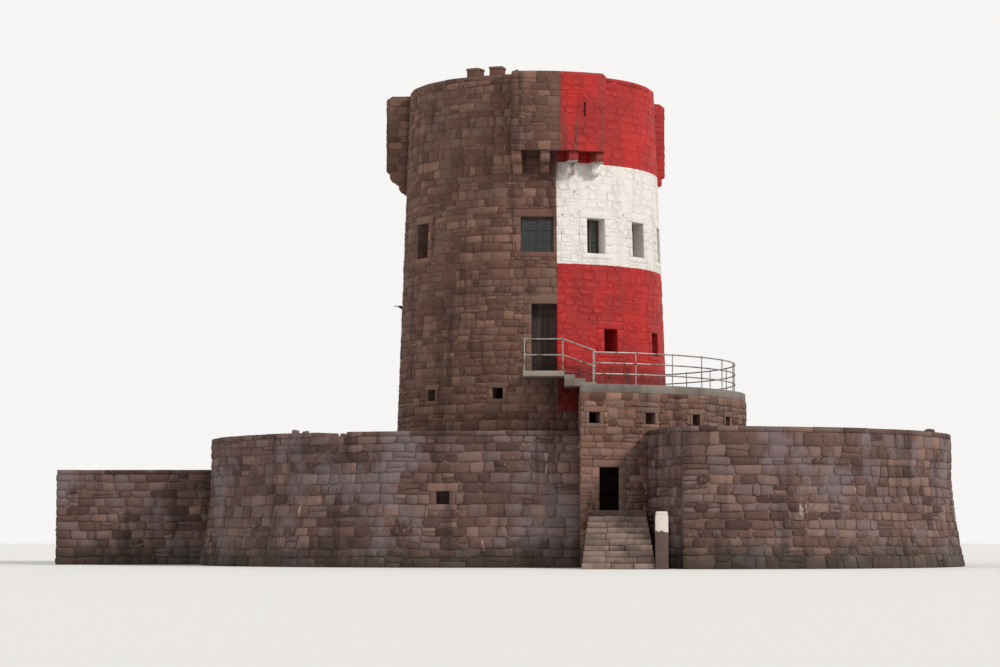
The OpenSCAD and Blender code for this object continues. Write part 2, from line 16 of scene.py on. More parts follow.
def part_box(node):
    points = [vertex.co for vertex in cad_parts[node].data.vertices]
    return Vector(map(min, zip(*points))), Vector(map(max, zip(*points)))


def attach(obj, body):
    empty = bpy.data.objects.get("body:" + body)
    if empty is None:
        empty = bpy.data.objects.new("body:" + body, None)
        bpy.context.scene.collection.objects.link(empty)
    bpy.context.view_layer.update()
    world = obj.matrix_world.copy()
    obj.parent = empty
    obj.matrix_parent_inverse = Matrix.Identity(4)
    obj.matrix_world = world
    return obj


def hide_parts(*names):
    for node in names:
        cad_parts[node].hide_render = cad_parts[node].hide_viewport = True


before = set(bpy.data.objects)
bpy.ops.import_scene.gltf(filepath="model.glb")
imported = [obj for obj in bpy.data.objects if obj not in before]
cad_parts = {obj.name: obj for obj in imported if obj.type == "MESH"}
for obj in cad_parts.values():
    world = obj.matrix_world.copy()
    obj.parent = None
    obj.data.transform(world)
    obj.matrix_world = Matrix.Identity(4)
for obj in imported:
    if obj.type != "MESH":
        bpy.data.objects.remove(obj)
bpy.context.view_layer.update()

rng = random.Random(1837)

# %% [markdown]
# ## The sizes that the stones follow
# Most sizes are read from the solids, so that a stone can't drift off its wall. Azimuth 0 faces the
# entrance front, which looks along -Y, and azimuths grow towards +X.

# %% Sizes of the tower, the annex and the battery
FOOT_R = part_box("tower_footing")[1][0]
BATTER = 0.036
DECK_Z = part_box("tower_footing")[1][2]
SHAFT_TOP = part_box("parapet_1")[0][2]
RIM_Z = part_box("parapet_1")[1][2]
PARAPET_T = 0.56
ROOF_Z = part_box("roof_deck")[1][2]
BOX_AZS = (10.5, 130.5, 250.5)
BOX_REACH = 0.84
BOX_FRONT_T = 0.28
BOX_CHEEK = 0.38
BOX_W = 3.55
BOX_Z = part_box("machicolation_1")[0][2]
ANNEX_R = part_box("annex_roof")[1][0]
ANNEX_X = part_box("annex_roof")[0][0]
ANNEX_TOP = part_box("annex_roof")[1][2]
ANNEX_WALL_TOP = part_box("annex_roof")[0][2]
THRESHOLD_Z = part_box("annex_floor")[1][2]
LOBE_R = 10.0
LOBE_T = 1.3
LEFT_X, LEFT_Y = -2.6, 3.0
RIGHT_X, RIGHT_Y = 5.7, -1.0
LOBE_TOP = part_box("battery_right_2")[1][2]
FLARE = 0.46
FLARE_Z = 3.2
TURN = 2 * math.pi


def shaft_r(z):
    return FOOT_R - BATTER * z


BOX_R = shaft_r(BOX_Z) + BOX_REACH
SHAFT_MID_R = shaft_r((DECK_Z + RIM_Z) / 2)


def lobe_r(z):
    """Radius of a lobe's face, which flares out in four straight slopes."""
    steps = 4
    k = min(max(z / FLARE_Z * steps, 0), steps)
    low = min(int(k), steps - 1)
    radii = [LOBE_R + FLARE * (1 - i / steps) ** 1.5 for i in (low, low + 1)]
    return radii[0] + (radii[1] - radii[0]) * (k - low)


def ring(az, r, z, centre=(0, 0)):
    """The point at an azimuth in radians and a radius about an upright axis."""
    return Vector((centre[0] + r * math.sin(az), centre[1] - r * math.cos(az), z))


print("shaft radius at the deck and at the rim", round(shaft_r(DECK_Z), 3), round(shaft_r(RIM_Z), 3))

# %% [markdown]
# ## The openings
# The windows stand over the entrance floor, the loopholes beside the door, and small square vents
# under them. Their places are needed twice: the rubble stops at them, and dressed blocks frame them.

# %% Places of the openings, as azimuth, width, sill and height
WINDOW_Z, WINDOW_H, WINDOW_W, BROAD_W = 11.52, 1.30, 0.76, 1.20
WINDOW_AZS = [28.7 + 25.1 * i for i in range(6)] + [-57, -110, -163]
BROAD_AZ = 2
LOOPHOLES = [(35 + 31 * i, 0.60, 7.88, 0.85) for i in range(5)]
VENTS = [(az, 0.40, 6.12, 0.40) for az in (-14.5, -47, -79.5, -112)]
DOOR_AZ, DOOR_W, DOOR_Z, DOOR_H = 5, 0.95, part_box("first_floor")[1][2], 2.55
WINDOWS = [(az, WINDOW_W, WINDOW_Z, WINDOW_H) for az in WINDOW_AZS]
WINDOWS.append((BROAD_AZ, BROAD_W, WINDOW_Z, WINDOW_H))
ANNEX_VENTS = [(15.6 + 15.5 * i, 0.40, 5.10, 0.40) for i in range(10)]
LOW_DOOR_X = 2.72
LOW_DOOR = (math.degrees(math.asin(LOW_DOOR_X / ANNEX_R)), 0.76, THRESHOLD_Z, 1.55)
print(len(WINDOWS), "windows,", len(LOOPHOLES), "loopholes,", len(VENTS) + len(ANNEX_VENTS), "vents")

# %% [markdown]
# ## Camera, floor and light
# The photograph looks at the entrance front from far off and from a little below. A long lens from
# the same side keeps its flat perspective. The eye is raised just enough to see the floor's surface.
# One soft lamp from the right rakes over the stones. A weak one from the left and a pale sky fill the
# shadows.

# %% Camera
EYE = Vector((0, -99.2, 1.1))
AIM = Vector((-1.25, 0, 8.9))
LENS_MM = 93
camera = bpy.data.objects.new("camera", bpy.data.cameras.new("camera"))
camera.data.lens = LENS_MM
camera.data.clip_end = 1000
camera.location = EYE
camera.rotation_euler = (AIM - EYE).to_track_quat("-Z", "Y").to_euler()
bpy.context.collection.objects.link(camera)
bpy.context.scene.camera = camera
bpy.context.scene.view_settings.view_transform = "Standard"
print("camera at", tuple(EYE), "with a lens of", LENS_MM, "mm")


# %% Helpers for node trees
def node(tree, kind, inputs=None, **settings):
    """A shader node: each input is a value to set or a socket to link."""
    made = tree.nodes.new("ShaderNode" + kind)
    for key, value in settings.items():
        setattr(made, key, value)
    for key, value in (inputs or {}).items():
        if isinstance(value, bpy.types.NodeSocket):
            tree.links.new(value, made.inputs[key])
        else:
            made.inputs[key].default_value = value
    return made


def calc(tree, operation, *values):
    return node(tree, "Math", dict(enumerate(values)), operation=operation).outputs[0]


def mixed(tree, factor, first, second, mode="MIX"):
    made = node(tree, "Mix", {0: factor, 6: first, 7: second}, data_type="RGBA", blend_type=mode)
    return made.outputs[2]


def fade(tree, value, low, high):
    """0 below low, 1 above high and smooth between; low over high turns it round."""
    made = node(tree, "MapRange", {"Value": value, "From Min": low, "From Max": high})
    made.interpolation_type = "SMOOTHSTEP"
    return made.outputs[0]


def noise(tree, where, scale, detail=3.0, roughness=0.55):
    inputs = {"Vector": where, "Scale": scale, "Detail": detail, "Roughness": roughness}
    return node(tree, "TexNoise", inputs).outputs[0]


def ramp(tree, factor, stops):
    made = node(tree, "ValToRGB", {"Fac": factor})
    marks = made.color_ramp.elements
    while len(marks) < len(stops):
        marks.new(0.5)
    for mark, (place, colour) in zip(marks, stops):
        mark.position = place
        mark.color = colour
    return made.outputs[0]


def rgb(red, green, blue):
    """A colour as it looks on a screen, turned into the linear values that shaders use."""
    linear = [c / 12.92 if c <= 0.04045 else ((c + 0.055) / 1.055) ** 2.4 for c in (red, green, blue)]
    return (*linear, 1)


def start_material(name):
    material = bpy.data.materials.new(name)
    material.use_nodes = True
    tree = material.node_tree
    shader = tree.nodes["Principled BSDF"]
    where = node(tree, "TexCoord").outputs["Object"]
    return material, tree, shader, where


def set_bump(tree, shader, height, strength, distance):
    inputs = {"Height": height, "Strength": strength, "Distance": distance}
    tree.links.new(node(tree, "Bump", inputs).outputs[0], shader.inputs["Normal"])


# %% Floor, sky and lamps
def make_floor():
    bm = bmesh.new()
    bmesh.ops.create_circle(bm, cap_ends=True, segments=96, radius=320)
    mesh = bpy.data.meshes.new("floor")
    bm.to_mesh(mesh)
    floor = bpy.data.objects.new("floor", mesh)
    bpy.context.collection.objects.link(floor)
    material, _, shader, _ = start_material("pale_floor")
    shader.inputs["Base Color"].default_value = rgb(0.90, 0.90, 0.89)
    shader.inputs["Roughness"].default_value = 0.9
    mesh.materials.append(material)


def make_sky(fill, seen):
    world = bpy.data.worlds.new("sky")
    world.use_nodes = True
    bpy.context.scene.world = world
    tree = world.node_tree
    path = node(tree, "LightPath")
    direct = calc(tree, "MAXIMUM", path.outputs["Is Camera Ray"], path.outputs["Is Glossy Ray"])
    shown = calc(tree, "MAXIMUM", direct, path.outputs["Is Transmission Ray"])
    strength = calc(tree, "MULTIPLY_ADD", shown, seen - fill, fill)
    background = tree.nodes["Background"]
    background.inputs["Color"].default_value = (1.0, 0.985, 0.97, 1)
    tree.links.new(strength, background.inputs["Strength"])


def make_sun(name, strength, az, height, softness, colour):
    lamp = bpy.data.lights.new(name, "SUN")
    lamp.energy = strength
    lamp.angle = math.radians(softness)
    lamp.color = colour
    sun = bpy.data.objects.new(name, lamp)
    towards = ring(math.radians(az), math.cos(math.radians(height)), math.sin(math.radians(height)))
    sun.rotation_euler = towards.to_track_quat("Z", "Y").to_euler()
    bpy.context.collection.objects.link(sun)


make_floor()
make_sky(fill=0.55, seen=0.93)
make_sun("key", 2.3, 58, 34, 9, (1.0, 0.95, 0.90))
make_sun("fill", 0.45, -50, 25, 40, (0.95, 0.97, 1.0))
print("stage is set")

# %% [markdown]
# ## Granite, mortar and paint
# The bare walls are brownish red granite, each stone a little different, with dark damp runs, thin
# streaks of lime and pale blooms of lichen. A stone's own shade comes from an attribute that is stored
# on its points. The plain walls behind have no such points, so there Voronoi cells draw rough stones
# and their joints. The seaward half is painted in three bands, red, white and red. The paint is a mask
# in the same material: it follows the azimuth and the height, its edges wobble, and it has flaked in
# places, so stones and mortar carry it alike. It is stained under the corbels. Under the landing it is
# darkened with painted shade, broken by damp runs.

# %% Masonry material
GRANITES = [rgb(0.335, 0.235, 0.20), rgb(0.39, 0.275, 0.235), rgb(0.435, 0.31, 0.265),
            rgb(0.42, 0.325, 0.29), rgb(0.51, 0.38, 0.32)]
MORTAR = rgb(0.40, 0.325, 0.285)
RED = rgb(0.70, 0.125, 0.115)
OLD_RED = rgb(0.60, 0.115, 0.11)
WHITE = rgb(0.88, 0.865, 0.845)
PAINT_FROM, PAINT_TO = math.radians(10.5), math.radians(190.5)
PAINT_FOOT, WHITE_FROM, WHITE_TO = 5.7, 11.1, 14.86
RAGGED = 0.06
CORBEL_STAIN = (13.2, 14.9)
# Heights of the painted shade under the landing, with damp: none above the first, full below the second.
LANDING_SHADE_AND_STAIN = (7.7, 7.0)


def painted(tree, where, colour):
    """Adds the three bands of paint over a wall's colour, and gives back the colour and the mask."""
    place = node(tree, "SeparateXYZ", {0: where}).outputs
    back_y = calc(tree, "MULTIPLY", place[1], -1)
    az = calc(tree, "ARCTAN2", place[0], back_y)
    ragged = noise(tree, where, 4.5, 4)
    az_wobble = calc(tree, "MULTIPLY_ADD", ragged, 0.010, -0.005)
    az = calc(tree, "ADD", az, az_wobble)
    height = calc(tree, "MULTIPLY_ADD", ragged, RAGGED, place[2])
    front_edge = calc(tree, "GREATER_THAN", az, PAINT_FROM)
    back_edge = calc(tree, "LESS_THAN", az, PAINT_TO - TURN)
    side = calc(tree, "MAXIMUM", front_edge, back_edge)
    above = calc(tree, "GREATER_THAN", height, PAINT_FOOT)
    band = calc(tree, "GREATER_THAN", height, WHITE_FROM + RAGGED / 2)
    under = calc(tree, "LESS_THAN", height, WHITE_TO + RAGGED / 2)
    white_band = calc(tree, "MULTIPLY", band, under)
    flake = calc(tree, "SUBTRACT", 1, fade(tree, noise(tree, where, 6.5, 7, 0.68), 0.68, 0.70))
    mask = calc(tree, "MULTIPLY", calc(tree, "MULTIPLY", side, above), flake)
    worn = fade(tree, noise(tree, where, 0.9, 5), 0.35, 0.65)
    red = mixed(tree, worn, RED, OLD_RED)
    paint = mixed(tree, white_band, red, WHITE)
    runs = node(tree, "Mapping", {"Vector": where, "Scale": (1, 1, 0.07)}).outputs[0]
    dirt = fade(tree, noise(tree, runs, 2.6, 5), 0.44, 0.72)
    near_corbels = fade(tree, place[2], *CORBEL_STAIN)
    box_az = BOX_AZS[0]
    from_box = calc(tree, "WRAP", az, math.radians(box_az + 60), math.radians(box_az - 60))
    beside = calc(tree, "ABSOLUTE", calc(tree, "SUBTRACT", from_box, math.radians(box_az)))
    under_box = calc(tree, "MULTIPLY", near_corbels, fade(tree, beside, 0.40, 0.30))
    stained = calc(tree, "MULTIPLY", dirt, calc(tree, "MULTIPLY_ADD", under_box, 0.75, 0.16))
    paint = mixed(tree, stained, paint, rgb(0.36, 0.22, 0.19))
    # Under the landing the paint darkens towards dark brown. This is painted shade where the landing's shadow
    # falls, broken by damp runs.
    damp = calc(tree, "MULTIPLY_ADD", dirt, 0.25, 0.55)
    landing_shade_and_damp = calc(tree, "MULTIPLY", fade(tree, place[2], *LANDING_SHADE_AND_STAIN), damp)
    paint = mixed(tree, landing_shade_and_damp, paint, rgb(0.20, 0.10, 0.09))
    return mixed(tree, mask, colour, paint), mask


def plain_rubble(tree, where):
    """The tone of each rough stone of a bare wall, and how far a point is inside its stone."""
    flat = node(tree, "Mapping", {"Vector": where, "Scale": (2.2, 2.2, 3.9)}).outputs[0]
    cell = node(tree, "TexVoronoi", {"Vector": flat, "Scale": 1.0}, feature="F1").outputs["Color"]
    gap = node(tree, "TexVoronoi", {"Vector": flat, "Scale": 1.0}, feature="DISTANCE_TO_EDGE").outputs[0]
    return node(tree, "SeparateColor", {0: cell}).outputs[0], fade(tree, gap, 0.03, 0.08)


def masonry(name, tints=GRANITES, joints=False, tower=True, bloom=0.35):
    material, tree, shader, where = start_material(name)
    speckle = noise(tree, where, 55, 2, 0.7)
    patches = noise(tree, where, 1.7, 5, 0.6)
    if joints:
        tone, inside = plain_rubble(tree, where)
    else:
        tone = node(tree, "Attribute", attribute_name="tone").outputs["Fac"]
    colour = ramp(tree, tone, [(i / (len(tints) - 1), tint) for i, tint in enumerate(tints)])
    if joints:
        colour = mixed(tree, inside, MORTAR, colour)
    grain = calc(tree, "MULTIPLY_ADD", speckle, 0.75, 0.62)
    colour = mixed(tree, 1.0, colour, grain, "MULTIPLY")
    mottle = calc(tree, "MULTIPLY_ADD", patches, 0.7, 0.65)
    colour = mixed(tree, 1.0, colour, mottle, "MULTIPLY")
    spots = fade(tree, noise(tree, where, 9, 5, 0.62), 0.57, 0.66)
    field = fade(tree, noise(tree, where, 0.45, 3), 0.46, 0.62)
    lichen = calc(tree, "MULTIPLY", calc(tree, "MULTIPLY", spots, field), bloom)
    colour = mixed(tree, lichen, colour, rgb(0.58, 0.54, 0.46))
    runs = node(tree, "Mapping", {"Vector": where, "Scale": (1, 1, 0.10)}).outputs[0]
    wet = fade(tree, noise(tree, runs, 1.5, 5, 0.6), 0.50, 0.68)
    colour = mixed(tree, calc(tree, "MULTIPLY", wet, 0.55), colour, rgb(0.15, 0.11, 0.10))
    lime_runs = node(tree, "Mapping", {"Vector": where, "Scale": (1, 1, 0.22)}).outputs[0]
    lime = fade(tree, noise(tree, lime_runs, 3.1, 4, 0.5), 0.715, 0.75)
    colour = mixed(tree, calc(tree, "MULTIPLY", lime, 0.6), colour, rgb(0.70, 0.64, 0.60))
    rough = 0.88
    if tower:
        colour, mask = painted(tree, where, colour)
        rough = calc(tree, "MULTIPLY_ADD", mask, -0.26, 0.88)
        tree.links.new(rough, shader.inputs["Roughness"])
    else:
        bleached = calc(tree, "MULTIPLY", fade(tree, noise(tree, where, 0.5, 5, 0.6), 0.52, 0.62), bloom)
        colour = mixed(tree, bleached, colour, rgb(0.47, 0.425, 0.44))
        height = node(tree, "SeparateXYZ", {0: where}).outputs[2]
        tide = calc(tree, "MULTIPLY_ADD", patches, 1.6, height)
        weed = calc(tree, "MULTIPLY", fade(tree, tide, 2.1, 0.9), 0.7)
        colour = mixed(tree, weed, colour, rgb(0.17, 0.16, 0.12))
        shader.inputs["Roughness"].default_value = rough
    tree.links.new(colour, shader.inputs["Base Color"])
    shader.inputs["Specular IOR Level"].default_value = 0.3
    surface = calc(tree, "MULTIPLY_ADD", noise(tree, where, 14, 5, 0.65), 2.0, speckle)
    set_bump(tree, shader, surface, 0.7, 0.010)
    return material


tower_stone = masonry("tower_stone")
tower_mortar = masonry("tower_mortar", joints=True)
BATTERY_TINTS = [rgb(0.28, 0.205, 0.19), rgb(0.355, 0.265, 0.24), rgb(0.41, 0.31, 0.285),
                 rgb(0.42, 0.35, 0.345), rgb(0.50, 0.39, 0.345)]
ANNEX_TINTS = [rgb(0.34, 0.235, 0.20), rgb(0.42, 0.30, 0.255), rgb(0.49, 0.355, 0.30),
               rgb(0.46, 0.37, 0.335), rgb(0.57, 0.43, 0.365)]
battery_stone = masonry("battery_stone", BATTERY_TINTS, tower=False, bloom=0.6)
battery_mortar = masonry("battery_mortar", BATTERY_TINTS, joints=True, tower=False, bloom=0.5)
annex_stone = masonry("annex_stone", ANNEX_TINTS, tower=False, bloom=0.3)
annex_mortar = masonry("annex_mortar", ANNEX_TINTS, joints=True, tower=False, bloom=0.2)
print("masonry materials", [m.name for m in (tower_stone, battery_stone, annex_stone)])

# %% [markdown]
# ## Rubble as one flat sheet that is bent round the wall
# Laying thousands of stones straight onto a curved, leaning wall is awkward. It is far easier to lay
# them flat, as a sheet with x along the wall and y up it, and to bend the finished sheet. Each course
# is a strip from create_grid with its joints moved by chance, the courses' beds are gentle waves, and
# the strips are split into single stones. Some stones are cut in two, and an inset takes the width of
# the mortar off every stone. Corners are knocked off with a bevel on vertices. Its own clamp would
# shrink every bevel to suit the smallest stone, so corners without room are left out. Then solidify
# gives each stone its body, a second inset rounds its edge, and poke lets its face swell.

# %% Lay courses in a flat sheet
JOINT = 0.026
BODY = 0.09
WAVES_ROUND = 7
WAVE = WAVES_ROUND / SHAFT_MID_R


def lay_courses(x0, x1, y0, y1, course, length, shared):
    """A sheet of stones with waving beds. Sheets that share a bed give it the same waves, and other
    ends are straight."""
    bm = bmesh.new()
    beds = [y0]
    while beds[-1] < y1 - 1.45 * course:
        beds.append(beds[-1] + course * rng.uniform(0.72, 1.28))
    beds.append(y1)
    waves = [rng.uniform(0, TURN) for _ in beds]
    for k in (0, -1):
        waves[k] = beds[k]

    def bed(k, x):
        if k in (0, len(beds) - 1) and beds[k] not in shared:
            return beds[k]
        ripple = math.sin(WAVE * x + waves[k]) + 0.6 * math.sin(3 * WAVE * x + 2 * waves[k])
        return beds[k] + 0.07 * course * ripple

    for k in range(len(beds) - 1):
        count = max(1, round((x1 - x0) / length * rng.uniform(0.9, 1.1)))
        widths = [rng.uniform(0.5, 1.5) for _ in range(count)]
        cuts = [x0 + (x1 - x0) * sum(widths[:i]) / sum(widths) for i in range(count + 1)]
        leans = [0] + [rng.uniform(-0.09, 0.09) * course for _ in range(count - 1)] + [0]
        strip = bmesh.ops.create_grid(bm, x_segments=count, y_segments=1, size=1)["verts"]
        reach = max(v.co.x for v in strip)
        for v in strip:
            i = round((v.co.x / reach + 1) / 2 * count)
            upper = v.co.y > 0
            x = cuts[i] + (leans[i] if upper else -leans[i])
            v.co = (x, bed(k + upper, x), 0)
    bmesh.ops.split_edges(bm, edges=[e for e in bm.edges if len(e.link_faces) == 2])
    return bm


def with_edges(faces):
    """Faces with their edges and corners, always in the same order, so that each run gives the same."""
    edges = dict.fromkeys(e for f in faces for e in f.edges)
    corners = dict.fromkeys(v for f in faces for v in f.verts)
    return list(faces) + list(edges) + list(corners)


def cut_some(bm, share):
    """Cuts a share of the stones in two along a nearly level bed."""
    faces = sorted(bm.faces, key=lambda f: f.calc_center_median()[:])
    for face in rng.sample(faces, int(len(faces) * share)):
        middle = face.calc_center_median()
        middle.y += rng.uniform(-0.03, 0.03)
        tilt = (rng.uniform(-0.12, 0.12), 1, 0)
        bmesh.ops.bisect_plane(bm, geom=with_edges([face]), plane_co=middle, plane_no=tilt)


def clear_rect(bm, x0, x1, y0, y1):
    """Cuts the stones along a rectangle's sides and takes out what lies inside it."""
    near = []
    for face in bm.faces:
        xs = [v.co.x for v in face.verts]
        if min(xs) < x1 and max(xs) > x0:
            ys = [v.co.y for v in face.verts]
            if min(ys) < y1 and max(ys) > y0:
                near.append(face)
    upright = [((x, 0, 0), (1, 0, 0)) for x in (x0, x1)]
    level = [((0, y, 0), (0, 1, 0)) for y in (y0, y1)]
    for point, direction in upright + level:
        if not near:
            return
        cut = bmesh.ops.bisect_plane(bm, geom=with_edges(near), plane_co=point, plane_no=direction)
        near = [g for g in cut["geom"] if isinstance(g, bmesh.types.BMFace)]
    inside = []
    for face in near:
        middle = face.calc_center_median()
        if x0 < middle.x < x1 and y0 < middle.y < y1:
            inside.append(face)
    bmesh.ops.delete(bm, geom=inside, context="FACES")


# %% Give the flat stones their bodies
def stone_bodies(bm, joint, body, edge, swell, lift, knock, calm=None):
    """Turns the sheet's faces into closed stones. calm(x, y) says how much relief a place keeps."""
    thin = []
    for face in bm.faces:
        xs = [v.co.x for v in face.verts]
        ys = [v.co.y for v in face.verts]
        if min(max(xs) - min(xs), max(ys) - min(ys)) < 2.6 * joint + 0.02:
            thin.append(face)
    bmesh.ops.delete(bm, geom=thin, context="FACES")
    rims = bmesh.ops.inset_individual(bm, faces=bm.faces[:], thickness=joint / 2, depth=0)["faces"]
    bmesh.ops.delete(bm, geom=rims, context="FACES")
    corners = sorted(bm.verts, key=lambda v: v.co[:])
    rng.shuffle(corners)
    third = len(corners) // 3
    for part, share in ((corners[:third], 0.5), (corners[third:2 * third], 0.75), (corners[2 * third:], 1.0)):
        room = 1.3 * knock * share + 2 * edge
        part = [v for v in part if min(e.calc_length() for e in v.link_edges) > room]
        bmesh.ops.bevel(bm, geom=part, affect="VERTICES", offset=knock * share, offset_type="OFFSET",
                        segments=1, profile=0.5, material=-1, clamp_overlap=False)
    tone = bm.verts.layers.float.new("tone")
    raised = bm.verts.layers.float.new("raised")
    for face in sorted(bm.faces, key=lambda f: f.calc_center_median()[:]):
        shade = rng.random()
        step = lift * rng.random()
        for v in sorted(face.verts, key=lambda v: v.co[:]):
            v[tone] = shade
            v[raised] = step
            v.co.x += rng.uniform(-0.1, 0.1) * knock
            v.co.y += rng.uniform(-0.1, 0.1) * knock
    bmesh.ops.solidify(bm, geom=bm.faces[:], thickness=body)
    bm.normal_update()
    fronts = [f for f in bm.faces if f.normal.z > 0.5 and f.verts[0].co.z > -0.5 * body]
    bmesh.ops.inset_individual(bm, faces=fronts, thickness=edge, depth=0.8 * edge)
    bmesh.ops.poke(bm, faces=fronts, offset=swell)
    for v in bm.verts:
        keep = calm(v.co.x, v.co.y) if calm else 1
        v.co.z = (v.co.z + v[raised]) * (keep if v.co.z > 0 else 1)
    bm.verts.layers.float.remove(raised)


def as_laid(x, y, out):
    return Vector((x, y, out))


def bend_to_piece(bm, place, name, material, crisp=False):
    """Bends the sheet with place(x, y, out) and makes it a piece of the tower."""
    for v in bm.verts:
        v.co = place(v.co.x, v.co.y, v.co.z)
    bm.normal_update()
    bmesh.ops.recalc_face_normals(bm, faces=bm.faces[:])
    mesh = bpy.data.meshes.new(name)
    bm.to_mesh(mesh)
    bm.free()
    mesh.shade_smooth()
    if crisp:
        mesh.set_sharp_from_angle(angle=math.radians(30))
    mesh.materials.append(material)
    piece = bpy.data.objects.new(name, mesh)
    bpy.context.collection.objects.link(piece)
    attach(piece, "root")
    triangles = sum(len(p.vertices) - 2 for p in mesh.polygons)
    print(name, triangles, "triangles")
    return piece


def rubble(name, x0, x1, y0, y1, place, material, course=0.30, length=0.48, holes=(), split=0.16,
           joint=JOINT, body=BODY, edge=0.016, swell=0.010, lift=0.022, knock=0.075, calm=None, shared=(),
           within=None):
    """A wall of rubble from the sheet x0 to x1 long and y0 to y1 high, bent with place(x, y, out)."""
    bm = lay_courses(x0, x1, y0, y1, course, length, shared)
    cut_some(bm, split)
    for hole in holes:
        clear_rect(bm, *hole)
    if within:
        outside = [f for f in bm.faces if not all(within(v.co.x, v.co.y) for v in f.verts)]
        bmesh.ops.delete(bm, geom=outside, context="FACES")
    stone_bodies(bm, joint, body, edge, swell, lift, knock, calm)
    return bend_to_piece(bm, place, name, material)


print("stone helpers are ready")

# %% [markdown]
# ## Dressed blocks round the openings
# Rubble can't make a true edge, so each opening has a lintel, a sill and jamb stones that are long
# and short by turns. They are laid in the same flat sheet, as cubes with bevelled edges. Long blocks
# are subdivided first, so that they bend with the wall. The rectangles that they fill are kept, so
# that the rubble stops there.

# %% Blocks and frames of blocks
def tone_layer(bm):
    """The layer of shades. It is asked for before corners are made, because adding it moves them."""
    return bm.verts.layers.float.get("tone") or bm.verts.layers.float.new("tone")


def soften(bm, edges, width):
    bmesh.ops.bevel(bm, geom=edges, affect="EDGES", offset=width, offset_type="OFFSET", segments=2,
                    profile=0.5, material=-1, clamp_overlap=True)


def add_block(bm, x0, x1, y0, y1, z0, z1, soft=0.014, longest=0.35):
    """A bevelled block in the flat sheet, cut along x so that it can bend."""
    tone = tone_layer(bm)
    made = bmesh.ops.create_cube(bm, size=1)["verts"]
    shade = rng.uniform(0.45, 1.0)
    for v in made:
        v.co = [(a + b) / 2 + c * (b - a) for a, b, c in zip((x0, y0, z0), (x1, y1, z1), v.co)]
        v[tone] = shade
    soften(bm, list(dict.fromkeys(e for v in made for e in v.link_edges)), soft)
    cuts = int((x1 - x0) / longest)
    for i in range(cuts):
        x = x0 + (x1 - x0) * (i + 1) / (cuts + 1)
        faces = [f for f in bm.faces if min(v.co.x for v in f.verts) < x < max(v.co.x for v in f.verts)
                 and y0 - 0.01 < f.verts[0].co.y < y1 + 0.01]
        bmesh.ops.bisect_plane(bm, geom=with_edges(faces), plane_co=(x, 0, 0), plane_no=(1, 0, 0))


def frame_rects(x, y, w, h, lintel, sill, jamb):
    """The rectangles of the blocks round an opening with its middle at x and its sill at y."""
    rects = []
    if sill:
        rects.append((x - w / 2 - jamb, x + w / 2 + jamb, y - sill, y))
    rects.append((x - w / 2 - 1.15 * jamb, x + w / 2 + 1.15 * jamb, y + h, y + h + lintel))
    count = max(1, round(h / 0.36))
    for side in (-1, 1):
        for i in range(count):
            reach = jamb * (1.25 if i % 2 else 0.8)
            edges = sorted((x + side * w / 2, x + side * (w / 2 + reach)))
            rects.append((edges[0], edges[1], y + h * i / count, y + h * (i + 1) / count))
    return rects


def clearing(x, y, w, h):
    """An opening's own rectangle, which the rubble leaves free."""
    return x - w / 2, x + w / 2, y, y + h


def dressed(name, rects, place, material, inner=0.10, outer=0.022, gap=0.005):
    """One block for each rectangle, from inner behind the wall's face to about outer before it."""
    bm = bmesh.new()
    for x0, x1, y0, y1 in rects:
        front = outer + rng.uniform(-0.004, 0.006)
        add_block(bm, x0 + gap, x1 - gap, y0 + gap, y1 - gap, -inner, front)
    bend_to_piece(bm, place, name, material)


# %% [markdown]
# ## The shaft
# The shaft's sheet is as long as its middle girth. Bending it also leans it, because the radius
# shrinks with the height. Stones are left out where the annex, the machicolations and the openings
# are, and the relief is lower under the paint, which fills the joints.

# %% Rubble of the shaft
BOX_HALF = math.asin(BOX_W / 2 / BOX_R)
BOX_TURNS = [math.radians(az) + turn for az in BOX_AZS for turn in (0, -TURN)]
STOREY_Z = (DECK_Z, 10.0, SHAFT_TOP)
COPING_T = 0.16
PAINTED_RELIEF = 0.22


def on_shaft(x, y, out):
    return ring(x / SHAFT_MID_R, shaft_r(y) + out, y)


def shaft_rect(az, w, z, h):
    """An opening's middle, sill, width and height in the shaft's sheet."""
    half = math.asin(w / 2 / shaft_r(z + h / 2)) * SHAFT_MID_R
    return math.radians(az) * SHAFT_MID_R, z, 2 * half, h


def calm_under_paint(r, bare):
    """The relief that each place of a sheet keeps, bent at radius r: bare stone keeps the share bare."""
    def calm(x, y):
        past_edge = (x / r - PAINT_FROM) % TURN
        return PAINTED_RELIEF if past_edge < PAINT_TO - PAINT_FROM and y > PAINT_FOOT else bare
    return calm


big_openings = [shaft_rect(*o) for o in WINDOWS + LOOPHOLES + [(DOOR_AZ, DOOR_W, DOOR_Z, DOOR_H)]]
vent_openings = [shaft_rect(*o) for o in VENTS]
frame_blocks = []
for x, y, w, h in big_openings:
    frame_blocks += frame_rects(x, y, w, h, 0.30, 0 if h == DOOR_H else 0.19, 0.24)
for x, y, w, h in vent_openings:
    frame_blocks += frame_rects(x, y, w, h, 0.20, 0.14, 0.17)
shaft_holes = [clearing(*opening) for opening in big_openings + vent_openings] + frame_blocks
for az in BOX_TURNS:
    shaft_holes.append(((az - BOX_HALF) * SHAFT_MID_R, (az + BOX_HALF) * SHAFT_MID_R, BOX_Z, RIM_Z + 1))
annex_half = math.acos(ANNEX_X / shaft_r(ANNEX_WALL_TOP)) * SHAFT_MID_R
annex_middle = math.pi / 2 * SHAFT_MID_R
shaft_holes.append((annex_middle - annex_half, annex_middle + annex_half, DECK_Z - 1, ANNEX_TOP - 0.1))
half_girth = math.pi * SHAFT_MID_R
